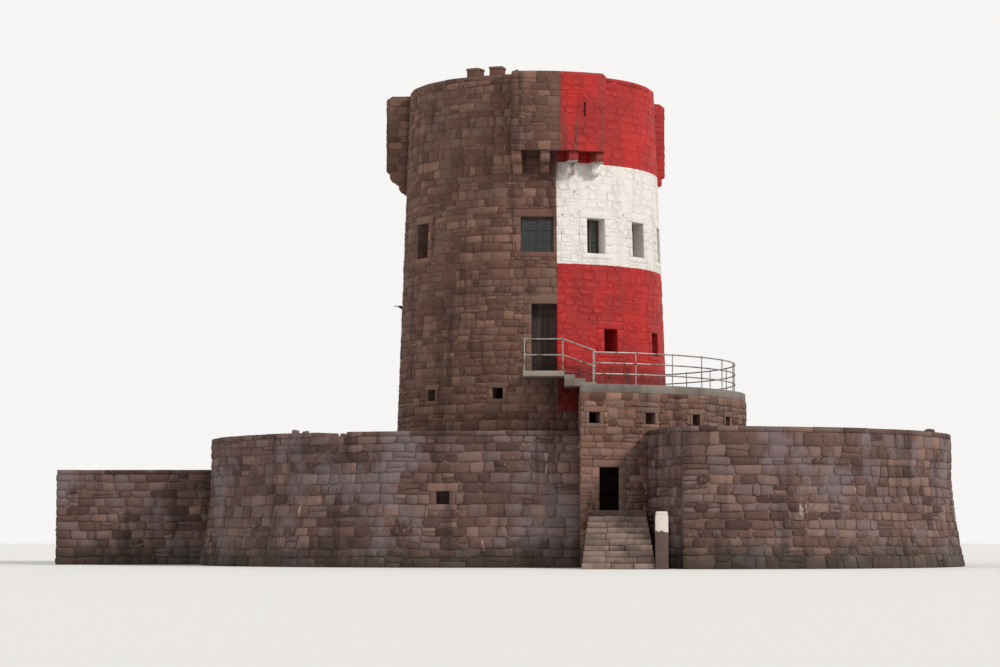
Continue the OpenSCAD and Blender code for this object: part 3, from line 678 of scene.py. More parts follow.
for name, low, high in (("shaft_stones_low", *STOREY_Z[:2]), ("shaft_stones_high", *STOREY_Z[1:]),
                        ("parapet_stones", SHAFT_TOP, RIM_Z - COPING_T)):
    holes = [hole for hole in shaft_holes if hole[2] < high and hole[3] > low]
    rubble(name, -half_girth, half_girth, low, high, on_shaft, tower_stone, holes=holes,
           calm=calm_under_paint(SHAFT_MID_R, 1), shared=STOREY_Z[1:])
dressed("shaft_frames", frame_blocks, on_shaft, tower_stone)

# %% [markdown]
# ## Parapet, coping and machicolations
# The parapet's inner face is bent with its relief towards the axis. Coping slabs lie on the rim as one
# ring of long stones. The machicolations are faced like the wall, with a weathered cap on top.

# %% Inner face and coping of the parapet
INNER_R = shaft_r(RIM_Z) - PARAPET_T


def inside_parapet(x, y, out):
    return ring(x / INNER_R, INNER_R - out, y)


def on_rim(x, y, out):
    return ring(x / SHAFT_MID_R, INNER_R + y, RIM_Z + out)


room_half = math.asin((BOX_W / 2 - BOX_CHEEK) / BOX_R)
room_spans = [(az - room_half, az + room_half) for az in BOX_TURNS]
rubble("parapet_inner_stones", -math.pi * INNER_R, math.pi * INNER_R, ROOF_Z, RIM_Z - COPING_T,
       inside_parapet, tower_stone, calm=lambda x, y: 0.8,
       holes=[(a * INNER_R, b * INNER_R, ROOF_Z - 1, RIM_Z + 1) for a, b in room_spans])
slab_style = dict(course=1.0, split=0, joint=0.014, swell=0.002, knock=0.03)
rubble("rim_coping", -half_girth, half_girth, -0.01, PARAPET_T + 0.03, on_rim, tower_stone, length=0.75,
       body=COPING_T, edge=0.012, lift=0.008, **slab_style,
       holes=[(a * SHAFT_MID_R, b * SHAFT_MID_R, -1, 1) for a, b in room_spans])


# %% Machicolations: fronts, cheeks and weathered caps
CAP_FALL, CAP_FLAT = 0.15, 0.06
CAP_RUN = BOX_FRONT_T - CAP_FLAT
CAP_L = math.hypot(CAP_RUN, CAP_FALL)
SLIT_TURN, SLIT_W, SLIT_Z, SLIT_H = math.radians(9.5), 0.09, 16.48, 0.52


def on_box_front(x, y, out):
    return ring(x / BOX_R, BOX_R + out, y)


def on_cap(x, y, out):
    r = BOX_R - CAP_RUN * y / CAP_L + out * CAP_FALL / CAP_L
    z = RIM_Z - CAP_FALL + CAP_FALL * y / CAP_L + out * CAP_RUN / CAP_L
    return ring(x / BOX_R, r, z)


def on_cheek(az, side):
    edge = az + side * BOX_HALF
    sideways = side * Vector((math.cos(edge), math.sin(edge), 0))
    return lambda x, y, out: ring(edge, shaft_r(y) + x, y) + out * sideways


for number, az in enumerate(map(math.radians, BOX_AZS), 1):
    span = ((az - BOX_HALF) * BOX_R, (az + BOX_HALF) * BOX_R)
    name = "machicolation_%d" % number
    slit = clearing((az + SLIT_TURN) * BOX_R, SLIT_Z, SLIT_W, SLIT_H)
    rubble(name + "_stones", *span, BOX_Z, RIM_Z - CAP_FALL, on_box_front, tower_stone, holes=[slit],
           course=0.28, length=0.42, calm=calm_under_paint(BOX_R, 0.8))
    rubble(name + "_cap", *span, 0, CAP_L, on_cap, tower_stone, length=0.6, body=0.06, edge=0.01, lift=0.006,
           **slab_style)
    for side, word in ((-1, "left"), (1, "right")):
        rubble("%s_%s_cheek" % (name, word), 0, BOX_R - shaft_r(BOX_Z), BOX_Z, RIM_Z - CAP_FALL,
               on_cheek(az, side), tower_stone, course=0.28, length=0.45, split=0, calm=lambda x, y: 0.5)

# %% [markdown]
# ## Corbels
# Each corbel is two stones, one reaching out further than the other, with a rounded nose. The
# outline of a stone is a face of a few points. Its sharp lower corner is rounded by a bevel on one
# vertex, the face is extruded by the corbel's width, and all its edges are softened.

# %% Corbel stones in place of the plain ones
CORBEL_W, CORBEL_H, CORBEL_SET_BACK, CORBEL_COUNT = 0.34, 0.42, 0.12, 4


def corbel_stone_at(az, r0, r1, z0, z1):
    """One corbel stone with a rounded nose, standing at an azimuth."""
    bm = bmesh.new()
    outline = [bm.verts.new((r, 0, z)) for r, z in ((r0, z0), (r1, z0), (r1, z1), (r0, z1))]
    bm.faces.new(outline)
    bmesh.ops.bevel(bm, geom=[outline[1]], affect="VERTICES", offset=0.5 * (z1 - z0), offset_type="OFFSET",
                    segments=6, profile=0.5, material=-1)
    grown = bmesh.ops.extrude_face_region(bm, geom=bm.faces[:])["geom"]
    side = [g for g in grown if isinstance(g, bmesh.types.BMVert)]
    bmesh.ops.translate(bm, verts=side, vec=(0, CORBEL_W, 0))
    bmesh.ops.recalc_face_normals(bm, faces=bm.faces[:])
    soften(bm, [e for e in bm.edges if e.calc_face_angle(0) > 0.6], 0.014)
    out, across = ring(az, 1, 0), Vector((math.cos(az), math.sin(az), 0))
    for v in bm.verts:
        v.co = out * v.co.x + across * (v.co.y - CORBEL_W / 2) + Vector((0, 0, v.co.z))
    return bm


def add_shape(bm, shape, places):
    """Adds a shape to bm at each place, each time with a shade of its own, and frees the shape."""
    tone = tone_layer(bm)
    mesh = bpy.data.meshes.new("shape")
    shape.to_mesh(mesh)
    shape.free()
    for place in places:
        before = len(bm.verts)
        bm.from_mesh(mesh)
        bm.verts.ensure_lookup_table()
        shade = rng.random()
        for v in bm.verts[before:]:
            v[tone] = shade
        bmesh.ops.transform(bm, matrix=place, verts=bm.verts[before:])
    bpy.data.meshes.remove(mesh)


def make_corbels():
    bm = bmesh.new()
    edge = BOX_HALF - math.asin(CORBEL_W / 2 / BOX_R)
    nose_r = BOX_R - CORBEL_SET_BACK
    middle_r = (shaft_r(BOX_Z - CORBEL_H) + nose_r) / 2
    for box_az in BOX_AZS:
        for j in range(CORBEL_COUNT):
            az = math.radians(box_az) - edge + 2 * edge * j / (CORBEL_COUNT - 1)
            for z, reach in ((BOX_Z - 2 * CORBEL_H, middle_r), (BOX_Z - CORBEL_H, nose_r)):
                add_shape(bm, corbel_stone_at(az, shaft_r(z) - 0.05, reach, z, z + CORBEL_H), [Matrix()])
    return bm


corbels = bend_to_piece(make_corbels(), as_laid, "corbel_stones", tower_stone)
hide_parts("corbels")

# %% [markdown]
# ## The battery wall
# Two round lobes carry the gun decks. Their stones are larger and squarer than the tower's. One sheet
# runs round the left lobe and on along the short straight front, and one runs round the right lobe.
# Both end where the lobes meet behind the tower.

# %% Faces of the lobes
LEFT_FROM = math.radians(-232.6)
RIGHT_FROM, RIGHT_TO = math.radians(-3.4), math.radians(181.9)
GAP_FROM, GAP_TO, GAP_H = math.radians(-31.3), math.radians(-24.2), 0.13
OUTLET_X, OUTLET_Z, OUTLET_W = -3.2, 2.25, 0.46


def on_left(r_of_y, z_of_y, x, y, out):
    """A point on the left lobe, which runs on straight past azimuth 0."""
    r = r_of_y(y) + out
    if x > 0:
        return Vector((LEFT_X + x, LEFT_Y - r, z_of_y(y)))
    return ring(x / LOBE_R, r, z_of_y(y), (LEFT_X, LEFT_Y))


def left_face(x, y, out):
    return on_left(lobe_r, lambda y: y, x, y, out)


def right_face(x, y, out):
    return ring(x / LOBE_R, lobe_r(y) + out, y, (RIGHT_X, RIGHT_Y))


battery_coping_z = LOBE_TOP - COPING_T
battery_style = dict(course=0.36, length=0.62, split=0.10, joint=0.03, edge=0.022, swell=0.014, lift=0.030,
                     knock=0.085)
left_span = (LEFT_FROM * LOBE_R, ANNEX_X - LEFT_X)
right_span = (RIGHT_FROM * LOBE_R, RIGHT_TO * LOBE_R)
outlet = (OUTLET_X - LEFT_X, OUTLET_Z, OUTLET_W, OUTLET_W)
outlet_frame = frame_rects(*outlet, 0.30, 0.22, 0.28)
rubble("battery_left_stones", *left_span, 0, battery_coping_z, left_face, battery_stone,
       holes=[clearing(*outlet)] + outlet_frame, **battery_style)
rubble("battery_right_stones", *right_span, 0, battery_coping_z, right_face, battery_stone, **battery_style)
dressed("outlet_frame", outlet_frame, left_face, battery_stone)


# %% Inner faces and coping of the lobes
BATTERY_INNER_R = LOBE_R - LOBE_T
INNER_LEFT_FROM = math.radians(-237)
INNER_RIGHT_FROM, INNER_RIGHT_TO = math.radians(2.5), math.radians(186)


def left_inside(x, y, out):
    return on_left(lambda z: BATTERY_INNER_R, lambda z: z, x, y, -out)


def right_inside(x, y, out):
    return ring(x / LOBE_R, BATTERY_INNER_R - out, y, (RIGHT_X, RIGHT_Y))


def left_top(x, y, out):
    top = on_left(lambda v: BATTERY_INNER_R + v, lambda v: LOBE_TOP, x, y, 0)
    return top + Vector((0, 0, out))


def right_top(x, y, out):
    return ring(x / LOBE_R, BATTERY_INNER_R + y, LOBE_TOP + out, (RIGHT_X, RIGHT_Y))


inner_style = dict(course=0.34, length=0.62, split=0.05, lift=0.02)
coping_style = dict(course=0.66, length=0.85, split=0, joint=0.018, body=COPING_T, edge=0.014, swell=0.003,
                    lift=0.010, knock=0.04)
rubble("battery_left_inner_stones", INNER_LEFT_FROM * LOBE_R, left_span[1], DECK_Z, battery_coping_z,
       left_inside, battery_stone, **inner_style)
rubble("battery_right_inner_stones", INNER_RIGHT_FROM * LOBE_R, INNER_RIGHT_TO * LOBE_R, DECK_Z,
       battery_coping_z, right_inside, battery_stone, **inner_style)
rubble("battery_left_coping", *left_span, -0.02, LOBE_T + 0.04, left_top, battery_stone,
       holes=[(GAP_FROM * LOBE_R, GAP_TO * LOBE_R, -1, 2)], **coping_style)
rubble("battery_right_coping", *right_span, -0.02, LOBE_T + 0.04, right_top, battery_stone, **coping_style)

# %% [markdown]
# ## The remaining walls
# The annex, the gateway's return and the wall that leads to the shore use the same sheet with other
# bends. On a flat wall the bend is only a turn and a shift.

# %% Annex walls
def on_annex(x, y, out):
    return ring(x / ANNEX_R, ANNEX_R + out, y)


def annex_rect(az, w, z, h):
    half = math.asin(w / 2 / ANNEX_R) * ANNEX_R
    return math.radians(az) * ANNEX_R, z, 2 * half, h


ANNEX_END_T = 0.30
DECK_MEETS_ANNEX = math.radians(31)
annex_from = math.asin(ANNEX_X / ANNEX_R) * ANNEX_R
annex_to = (math.pi - math.asin(ANNEX_X / ANNEX_R)) * ANNEX_R
annex_blocks = []
for vent in ANNEX_VENTS:
    annex_blocks += frame_rects(*annex_rect(*vent), 0.20, 0.14, 0.17)
annex_blocks += frame_rects(*annex_rect(*LOW_DOOR), 0.26, 0, 0.22)
annex_holes = [clearing(*annex_rect(*opening)) for opening in ANNEX_VENTS + [LOW_DOOR]] + annex_blocks
annex_holes.append((annex_from + ANNEX_END_T, annex_to + 1, -1, THRESHOLD_Z))
annex_holes.append((DECK_MEETS_ANNEX * ANNEX_R, annex_to + 1, -1, DECK_Z))
rubble("annex_stones", annex_from, annex_to, 0, ANNEX_WALL_TOP, on_annex, annex_stone,
       course=0.29, length=0.5, holes=annex_holes)
dressed("annex_frames", annex_blocks, on_annex, annex_stone)


def flat_wall(start, end):
    """A bend for a straight wall that runs from start to end, with its face on the right."""
    start, end = Vector((*start, 0)), Vector((*end, 0))
    along = (end - start).normalized()
    outwards = Vector((along.y, -along.x, 0))
    return lambda x, y, out: start + along * x + Vector((0, 0, y)) + outwards * out


annex_edge_y = math.sqrt(ANNEX_R ** 2 - ANNEX_X ** 2)
shaft_edge_y = math.sqrt(shaft_r(DECK_Z) ** 2 - ANNEX_X ** 2) - 0.1
for word, start_y, end_y, low in (("front", -shaft_edge_y, -annex_edge_y, 0),
                                  ("back", annex_edge_y, shaft_edge_y, DECK_Z)):
    rubble("annex_end_%s_stones" % word, 0, annex_edge_y - shaft_edge_y, low, ANNEX_WALL_TOP,
           flat_wall((ANNEX_X, start_y), (ANNEX_X, end_y)), annex_stone, course=0.29, length=0.5)

# %% Gateway return and approach wall
GATE_BACK_X, GATE_FRONT_X = 4.1, 5.1
GATE_BACK = (GATE_BACK_X, -math.sqrt(ANNEX_R ** 2 - GATE_BACK_X ** 2))
GATE_FRONT = (GATE_FRONT_X, RIGHT_Y - LOBE_R)
RETURN_T = 0.9
return_l = math.dist(GATE_BACK, GATE_FRONT)
return_way = Vector((*GATE_FRONT, 0)) - Vector((*GATE_BACK, 0))
return_side = Vector((-return_way.y, return_way.x, 0)).normalized()


def beyond_return(x, y):
    """How far a place lies behind the return's face, on the side of the right gun deck."""
    return (Vector((x, y, 0)) - Vector((*GATE_BACK, 0))).dot(return_side)


def return_top(x, y, out):
    start = Vector((*GATE_BACK, LOBE_TOP + out))
    return start + return_way.normalized() * x + return_side * y


back_start = Vector((*GATE_BACK, 0)) + return_side * RETURN_T
back_end = Vector((*GATE_FRONT, 0)) + return_side * RETURN_T
rubble("gateway_return_stones", 0, return_l - 0.04, 0, battery_coping_z, flat_wall(GATE_BACK, GATE_FRONT),
       battery_stone, **battery_style)
rubble("gateway_return_back_stones", LOBE_T, return_l, DECK_Z, battery_coping_z,
       flat_wall(back_end.xy, back_start.xy), battery_stone, course=0.34, length=0.62)
rubble("gateway_return_coping", 0, return_l - 0.02, -0.02, RETURN_T + 0.02, return_top, battery_stone,
       holes=[(return_l - LOBE_T, return_l, 0.36, 1)], **coping_style)
APPROACH_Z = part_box("approach_wall")[1][2]
APPROACH_T = 1.4
approach_x0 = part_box("approach_wall")[0][0]
approach_x1 = LEFT_X - LOBE_R
near_y, far_y = LEFT_Y - APPROACH_T / 2, LEFT_Y + APPROACH_T / 2
for word, start, end in (("front", (approach_x0, near_y), (approach_x1, near_y)),
                         ("back", (approach_x1, far_y), (approach_x0, far_y)),
                         ("end", (approach_x0, far_y), (approach_x0, near_y))):
    rubble("approach_%s_stones" % word, 0, math.dist(start, end), 0, APPROACH_Z - COPING_T,
           flat_wall(start, end), battery_stone, **battery_style)


def on_approach(x, y, out):
    return Vector((approach_x0 + x, near_y + y, APPROACH_Z + out))


rubble("approach_coping", 0, approach_x1 - approach_x0 + 0.05, -0.03, APPROACH_T + 0.03, on_approach,
       battery_stone, **coping_style)

# %% [markdown]
# ## Concrete, timber, iron and glass
# The landing, its treads and the annex roof are later work in concrete, with stains in patches. Doors
# and window frames are tarred timber. The rails are galvanised tube that has begun to rust. Each of
# these finishes is a few layers of noise over one base colour, and a stretched noise makes grain or
# runs.

# %% Other finishes
def weathered(name, base, stain, scale=1.2, stretch=(1, 1, 1), rough=0.85, depth=0.004, grain=40, low=0.42,
              high=0.68, metal=0.0, amount=0.8):
    """A base colour with a stain in patches or runs, fine grain and bump."""
    material, tree, shader, where = start_material(name)
    along = node(tree, "Mapping", {"Vector": where, "Scale": stretch}).outputs[0]
    patch = calc(tree, "MULTIPLY", fade(tree, noise(tree, along, scale, 6, 0.62), low, high), amount)
    colour = mixed(tree, patch, base, stain)
    fine = noise(tree, along, grain, 3, 0.65)
    shaded = calc(tree, "MULTIPLY_ADD", fine, 0.5, 0.75)
    colour = mixed(tree, 1.0, colour, shaded, "MULTIPLY")
    tree.links.new(colour, shader.inputs["Base Color"])
    tree.links.new(calc(tree, "MULTIPLY_ADD", patch, 0.2, rough - 0.1), shader.inputs["Roughness"])
    shader.inputs["Metallic"].default_value = metal
    set_bump(tree, shader, calc(tree, "ADD", fine, patch), 0.5, depth)
    return material


def glass_material():
    material, tree, shader, where = start_material("window_glass")
    shader.inputs["Base Color"].default_value = rgb(0.80, 0.86, 0.86)
    shader.inputs["Transmission Weight"].default_value = 1.0
    shader.inputs["IOR"].default_value = 1.45
    dust = fade(tree, noise(tree, where, 6, 5, 0.6), 0.4, 0.75)
    tree.links.new(calc(tree, "MULTIPLY_ADD", dust, 0.12, 0.03), shader.inputs["Roughness"])
    set_bump(tree, shader, noise(tree, where, 2.5, 2), 0.12, 0.01)
    return material


concrete = weathered("concrete", rgb(0.56, 0.52, 0.48), rgb(0.38, 0.32, 0.28), scale=1.1, depth=0.006)
roof_concrete = weathered("roof_concrete", rgb(0.50, 0.47, 0.44), rgb(0.33, 0.30, 0.27), scale=0.6)
deck_stone = weathered("deck_stone", rgb(0.50, 0.45, 0.41), rgb(0.33, 0.32, 0.26), scale=0.5)
step_stone = weathered("step_stone", rgb(0.55, 0.47, 0.43), rgb(0.36, 0.31, 0.26), scale=1.6, depth=0.006)
door_timber = weathered("door_timber", rgb(0.23, 0.165, 0.14), rgb(0.14, 0.10, 0.09), scale=3,
                        stretch=(1, 1, 0.06), rough=0.7, grain=60)
frame_timber = weathered("frame_timber", rgb(0.30, 0.24, 0.21), rgb(0.18, 0.14, 0.12), scale=4,
                         stretch=(1, 1, 0.1), rough=0.65, grain=70, depth=0.002)
galvanised = weathered("galvanised_rail", rgb(0.60, 0.59, 0.57), rgb(0.40, 0.22, 0.13), scale=3.5, rough=0.5,
                       low=0.52, high=0.62, metal=0.55, depth=0.001)
dark_iron = weathered("dark_iron", rgb(0.16, 0.13, 0.12), rgb(0.30, 0.15, 0.09), scale=5, rough=0.6,
                      metal=0.6, depth=0.001)
glass = glass_material()
floor_boards = weathered("floor_boards", rgb(0.45, 0.34, 0.26), rgb(0.30, 0.22, 0.17), scale=3,
                         stretch=(0.08, 1, 1), rough=0.7, grain=50)
FLAG_TINTS = [rgb(0.37, 0.325, 0.29), rgb(0.43, 0.38, 0.345), rgb(0.49, 0.43, 0.39), rgb(0.55, 0.485, 0.44)]
flag_stone = masonry("flag_stone", FLAG_TINTS, tower=False, bloom=0.4)


def post_material():
    """A granite post whose upper part still carries its white paint, with a ragged edge."""
    material, tree, shader, where = start_material("gate_post_stone")
    height = node(tree, "SeparateXYZ", {0: where}).outputs[2]
    ragged = calc(tree, "MULTIPLY_ADD", noise(tree, where, 7, 6, 0.7), 0.5, height)
    white = fade(tree, ragged, 1.50, 1.54)
    stone = mixed(tree, noise(tree, where, 3, 5), rgb(0.40, 0.31, 0.28), rgb(0.27, 0.22, 0.20))
    grain = calc(tree, "MULTIPLY_ADD", noise(tree, where, 45, 3, 0.7), 0.5, 0.75)
    colour = mixed(tree, 1.0, mixed(tree, white, stone, rgb(0.83, 0.79, 0.76)), grain, "MULTIPLY")
    tree.links.new(colour, shader.inputs["Base Color"])
    shader.inputs["Roughness"].default_value = 0.8
    set_bump(tree, shader, noise(tree, where, 18, 5, 0.65), 0.6, 0.008)
    return material


gate_post_stone = post_material()
print("finishes", len(bpy.data.materials))

# %% [markdown]
# ## Small shapes that are made once
# Boards, bolts, flanges and balls are each made once, in bmesh, and set down at many places. A place
# is a matrix, which is a turn and a shift in one, so a loop can follow the tower round. Round shapes
# are spun from half of their outline. Square ones are cubes with bevelled edges.

# %% Shapes and places
def spun(profile, steps=16):
    """A round shape: its outline, from the axis out and back to the axis, spun about Z."""
    bm = bmesh.new()
    points = [bm.verts.new((r, 0, z)) for r, z in profile]
    edges = [bm.edges.new(pair) for pair in zip(points, points[1:])]
    bmesh.ops.spin(bm, geom=points + edges, cent=(0, 0, 0), axis=(0, 0, 1), angle=TURN, steps=steps,
                   use_merge=True)
    bmesh.ops.remove_doubles(bm, verts=bm.verts[:], dist=0.0001)
    bmesh.ops.recalc_face_normals(bm, faces=bm.faces[:])
    return bm


def block(width, depth, height, soft=0.008):
    """A bevelled block that stands on z = 0, with its middle on the Z axis."""
    bm = bmesh.new()
    bmesh.ops.create_cube(bm, size=1)
    bmesh.ops.translate(bm, verts=bm.verts[:], vec=(0, 0, 0.5))
    bmesh.ops.scale(bm, verts=bm.verts[:], vec=(width, depth, height))
    soften(bm, bm.edges[:], soft)
    return bm


def turned_to(az, r, z, across=0.0):
    """The place at an azimuth in degrees and a radius, where a shape's -Y side faces outwards."""
    return Matrix.Rotation(math.radians(az), 4, "Z") @ Matrix.Translation((across, -r, z))


OUTWARDS = Matrix.Rotation(math.pi / 2, 4, "X")


def placed(name, shapes, material, replaces=()):
    """Makes one piece from pairs of a shape and the list of its places."""
    bm = bmesh.new()
    for shape, places in shapes:
        add_shape(bm, shape, places)
    piece = bend_to_piece(bm, as_laid, name, material, crisp=True)
    if replaces:
        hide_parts(*replaces)


print("a flange, a bolt or a board is one call away")

# %% [markdown]
# ## The entrance door and the windows
# The door is dark boards in a timber frame, held by three iron straps with a bolt through each board.
# Each window has two lights in a timber frame, which is there already, and each light gets two thin
# glazing bars.

# %% Door of boards, straps, bolts and handle
DOOR_T, DOOR_SET_BACK, DOOR_POST = 0.07, 0.42, 0.08
BOARD_T, BOARD_COUNT = 0.04, 6
STRAP_W, STRAP_T = 0.055, 0.01
HANDLE_X, HANDLE_Z = 0.26, DOOR_Z + 1.0
door_r = shaft_r(DOOR_Z + DOOR_H) - DOOR_SET_BACK
leaf_w = DOOR_W - 2 * DOOR_POST
leaf_h = DOOR_H - DOOR_POST
board_w = leaf_w / BOARD_COUNT - 0.005
board_r = door_r - DOOR_T + BOARD_T / 2
board_mids = [leaf_w * ((i + 0.5) / BOARD_COUNT - 0.5) for i in range(BOARD_COUNT)]
strap_zs = [DOOR_Z + leaf_h * k for k in (0.13, 0.48, 0.86)]
strap_r = board_r + BOARD_T / 2 + 0.005


def on_door(across, z, r):
    return turned_to(DOOR_AZ, r, z, across)


frame_r = door_r - DOOR_T / 2
jamb_x = (DOOR_W - DOOR_POST) / 2
placed("entrance_door_boards", [
    (block(DOOR_POST, DOOR_T, DOOR_H), [on_door(side * jamb_x, DOOR_Z, frame_r) for side in (-1, 1)]),
    (block(leaf_w, DOOR_T, DOOR_POST), [on_door(0, DOOR_Z + leaf_h, frame_r)]),
    (block(board_w, BOARD_T, leaf_h, 0.006), [on_door(x, DOOR_Z, board_r) for x in board_mids]),
], door_timber, ["entrance_door"])
bolt = [(0, 0), (0.016, 0), (0.015, 0.006), (0.009, 0.012), (0, 0.014)]
bolt_places = [on_door(x, z + STRAP_W / 2, strap_r + STRAP_T / 2) @ OUTWARDS
               for x in board_mids for z in strap_zs]
placed("entrance_door_ironwork", [
    (block(leaf_w - 0.04, STRAP_T, STRAP_W, 0.003), [on_door(0, z, strap_r) for z in strap_zs]),
    (spun(bolt, 8), bolt_places),
    (block(0.022, 0.02, 0.24, 0.006), [on_door(HANDLE_X, HANDLE_Z, strap_r + 0.05)]),
    (block(0.022, 0.055, 0.022, 0.004),
     [on_door(HANDLE_X, HANDLE_Z + above, strap_r + 0.022) for above in (0.01, 0.208)]),
], dark_iron)

# %% Glazing bars
FRAME_SET_BACK, FRAME_DEPTH, FRAME_W = 0.45, 0.09, 0.065
BAR_W, BAR_DEPTH = 0.024, 0.034
pane_r = shaft_r(WINDOW_Z + WINDOW_H) - FRAME_SET_BACK - FRAME_DEPTH / 2
light_h = WINDOW_H - 2 * FRAME_W


def bars(width, azs):
    light_w = width / 2 - 1.5 * FRAME_W
    middle = (FRAME_W + light_w) / 2
    level = [WINDOW_Z + FRAME_W + light_h * k / 3 - BAR_W / 2 for k in (1, 2)]
    return block(light_w, BAR_DEPTH, BAR_W, 0.005), [turned_to(az, pane_r, z, side * middle)
                                                     for az in azs for z in level for side in (-1, 1)]


placed("glazing_bars", [bars(WINDOW_W, WINDOW_AZS), bars(BROAD_W, [BROAD_AZ])], frame_timber)

# %% [markdown]
# ## Steps, gate post and the things on the rim
# The steps are worn stones that lie on the plain stair as treads. Their front edges catch the light,
# so each one gets a wide bevel. The post beside them keeps only the upper part of its paint.

# %% Step stones and flags in the gateway
STEP_COUNT, STEP_GOING, THRESHOLD_Y = 10, 0.30, 8.9
TOP_STEP, LOW_STEP = (1.96, 3.95), (1.65, 4.15)
STEP_PROUD, FLAG_ROW, UNCUT = 0.012, 0.72, 9
step_rise = THRESHOLD_Z / STEP_COUNT


def make_steps():
    bm = bmesh.new()
    for i in range(1, STEP_COUNT):
        x0, x1 = [top + (low - top) * i / (STEP_COUNT - 1) for top, low in zip(TOP_STEP, LOW_STEP)]
        front = -THRESHOLD_Y - i * STEP_GOING
        level = THRESHOLD_Z - i * step_rise
        cuts = [x0 + (x1 - x0) * share for share in (0, rng.uniform(0.22, 0.42), rng.uniform(0.58, 0.78), 1)]
        for a, b in zip(cuts, cuts[1:]):
            worn = rng.uniform(0, STEP_PROUD)
            add_block(bm, a + 0.004, b - 0.004, front - STEP_PROUD + worn, front + STEP_GOING,
                      level - step_rise + 0.004, level + STEP_PROUD - worn, soft=0.022, longest=UNCUT)
    for row in range(2):
        back = -THRESHOLD_Y + FLAG_ROW * (row + 1)
        shares = (0, 0.35 - 0.1 * row, 0.7 - 0.15 * row, 1)
        cuts = [TOP_STEP[0] + (TOP_STEP[1] - TOP_STEP[0]) * share for share in shares]
        for a, b in zip(cuts, cuts[1:]):
            add_block(bm, a + 0.005, b - 0.005, back - FLAG_ROW + 0.01, back, THRESHOLD_Z - 0.1,
                      THRESHOLD_Z + 0.008, longest=UNCUT)
    return bm


bend_to_piece(make_steps(), as_laid, "step_stones", step_stone, crisp=True)

# %% Gate post, chimney stacks, vent and bracket
POST_W, POST_H, POST_AHEAD = 0.43, 1.95, 0.10
post_x = LOW_STEP[1] + POST_W / 2
post_y = -THRESHOLD_Y - (STEP_COUNT - 1) * STEP_GOING - POST_AHEAD + POST_W / 2
placed("gate_post_stones", [
    (block(POST_W, POST_W, POST_H - 0.12, 0.03), [Matrix.Translation((post_x, post_y, 0))]),
    (block(POST_W - 0.03, POST_W - 0.03, 0.14, 0.045), [Matrix.Translation((post_x, post_y, POST_H - 0.14))]),
], gate_post_stone, ["gate_post"])

STACK_AZS, STACK_W, STACK_H, CAP_H = (-28.6, -17), 0.52, 0.34, 0.09
rim_mid_r = shaft_r(RIM_Z) - PARAPET_T / 2
curb_w = 0.15
curb_at = (STACK_W - curb_w) / 2
cap_z = RIM_Z + STACK_H - CAP_H
curb_sides = [(az, side * curb_at) for az in STACK_AZS for side in (-1, 1)]
placed("chimney_stack_stones", [
    (block(STACK_W - 0.04, STACK_W - 0.04, STACK_H - CAP_H, 0.02),
     [turned_to(az, rim_mid_r, RIM_Z) for az in STACK_AZS]),
    (block(STACK_W, curb_w, CAP_H, 0.015), [turned_to(az, rim_mid_r + off, cap_z) for az, off in curb_sides]),
    (block(curb_w, STACK_W - 2 * curb_w, CAP_H, 0.015),
     [turned_to(az, rim_mid_r, cap_z, off) for az, off in curb_sides]),
], tower_stone, ["chimney_stacks"])

VENT_AZ = -7.5
cowl = [(0, 0), (0.09, 0), (0.09, 0.015), (0.06, 0.03), (0.06, 0.15), (0.088, 0.15), (0.088, 0.175),
        (0.03, 0.232), (0, 0.238)]
placed("roof_vent_cowl", [(spun(cowl, 24), [turned_to(VENT_AZ, rim_mid_r, RIM_Z)])], dark_iron, ["roof_vent"])

BRACKET_AZ, BRACKET_Z, BRACKET_L, BRACKET_H = -88, 9.8, 0.32, 0.16
GUSSET_T = 0.012


def gusset():
    """The triangle of sheet iron under the bracket's arm."""
    bm = bmesh.new()
    outline = ((0, 0.01), (-0.22, BRACKET_H), (0, BRACKET_H))
    bm.faces.new([bm.verts.new((-GUSSET_T / 2, y, z)) for y, z in outline])
    grown = bmesh.ops.extrude_face_region(bm, geom=bm.faces[:])["geom"]
    side = [g for g in grown if isinstance(g, bmesh.types.BMVert)]
    bmesh.ops.translate(bm, verts=side, vec=(GUSSET_T, 0, 0))
    bmesh.ops.recalc_face_normals(bm, faces=bm.faces[:])
    return bm


def on_bracket(out, up):
    return turned_to(BRACKET_AZ, shaft_r(BRACKET_Z) + out, BRACKET_Z + up)


knob = [(0, 0), (0.022, 0), (0.022, 0.02), (0, 0.02)]
placed("wall_bracket_iron", [
    (block(0.06, 0.024, BRACKET_H, 0.004), [on_bracket(0.012, 0)]),
    (block(0.05, BRACKET_L - 0.01, 0.022, 0.004), [on_bracket(BRACKET_L / 2, BRACKET_H - 0.022)]),
    (gusset(), [on_bracket(0.01, -0.01)]),
    (spun(knob, 12), [on_bracket(BRACKET_L - 0.04, BRACKET_H - 0.045)]),
], dark_iron, ["wall_bracket"])

# %% [markdown]
# ## Landing, railings and paving
# A concrete slab that has stood in salt wind has no sharp edge left. A copy of the plain solid is
# merged, its flat faces are joined and its sharp edges are bevelled. The railing's posts stand on
# round flanges with four bolts, and on the annex a ball fitting hides each crossing of a rail and a post.

# %% Worn edges on the concrete
def worn_copy(name, width, material):
    bm = bmesh.new()
    bm.from_mesh(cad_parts[name].data)
    bmesh.ops.remove_doubles(bm, verts=bm.verts[:], dist=0.0005)
    bmesh.ops.dissolve_limit(bm, angle_limit=math.radians(0.5), verts=bm.verts[:], edges=bm.edges[:])
    sharp = [e for e in bm.edges if e.calc_face_angle(0) > math.radians(45)]
    soften(bm, sharp, width)
    piece = bend_to_piece(bm, as_laid, name + "_worn", material, crisp=True)
    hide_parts(name)


worn_copy("entrance_landing", 0.018, concrete)
worn_copy("landing_steps", 0.015, concrete)
worn_copy("annex_roof", 0.020, roof_concrete)

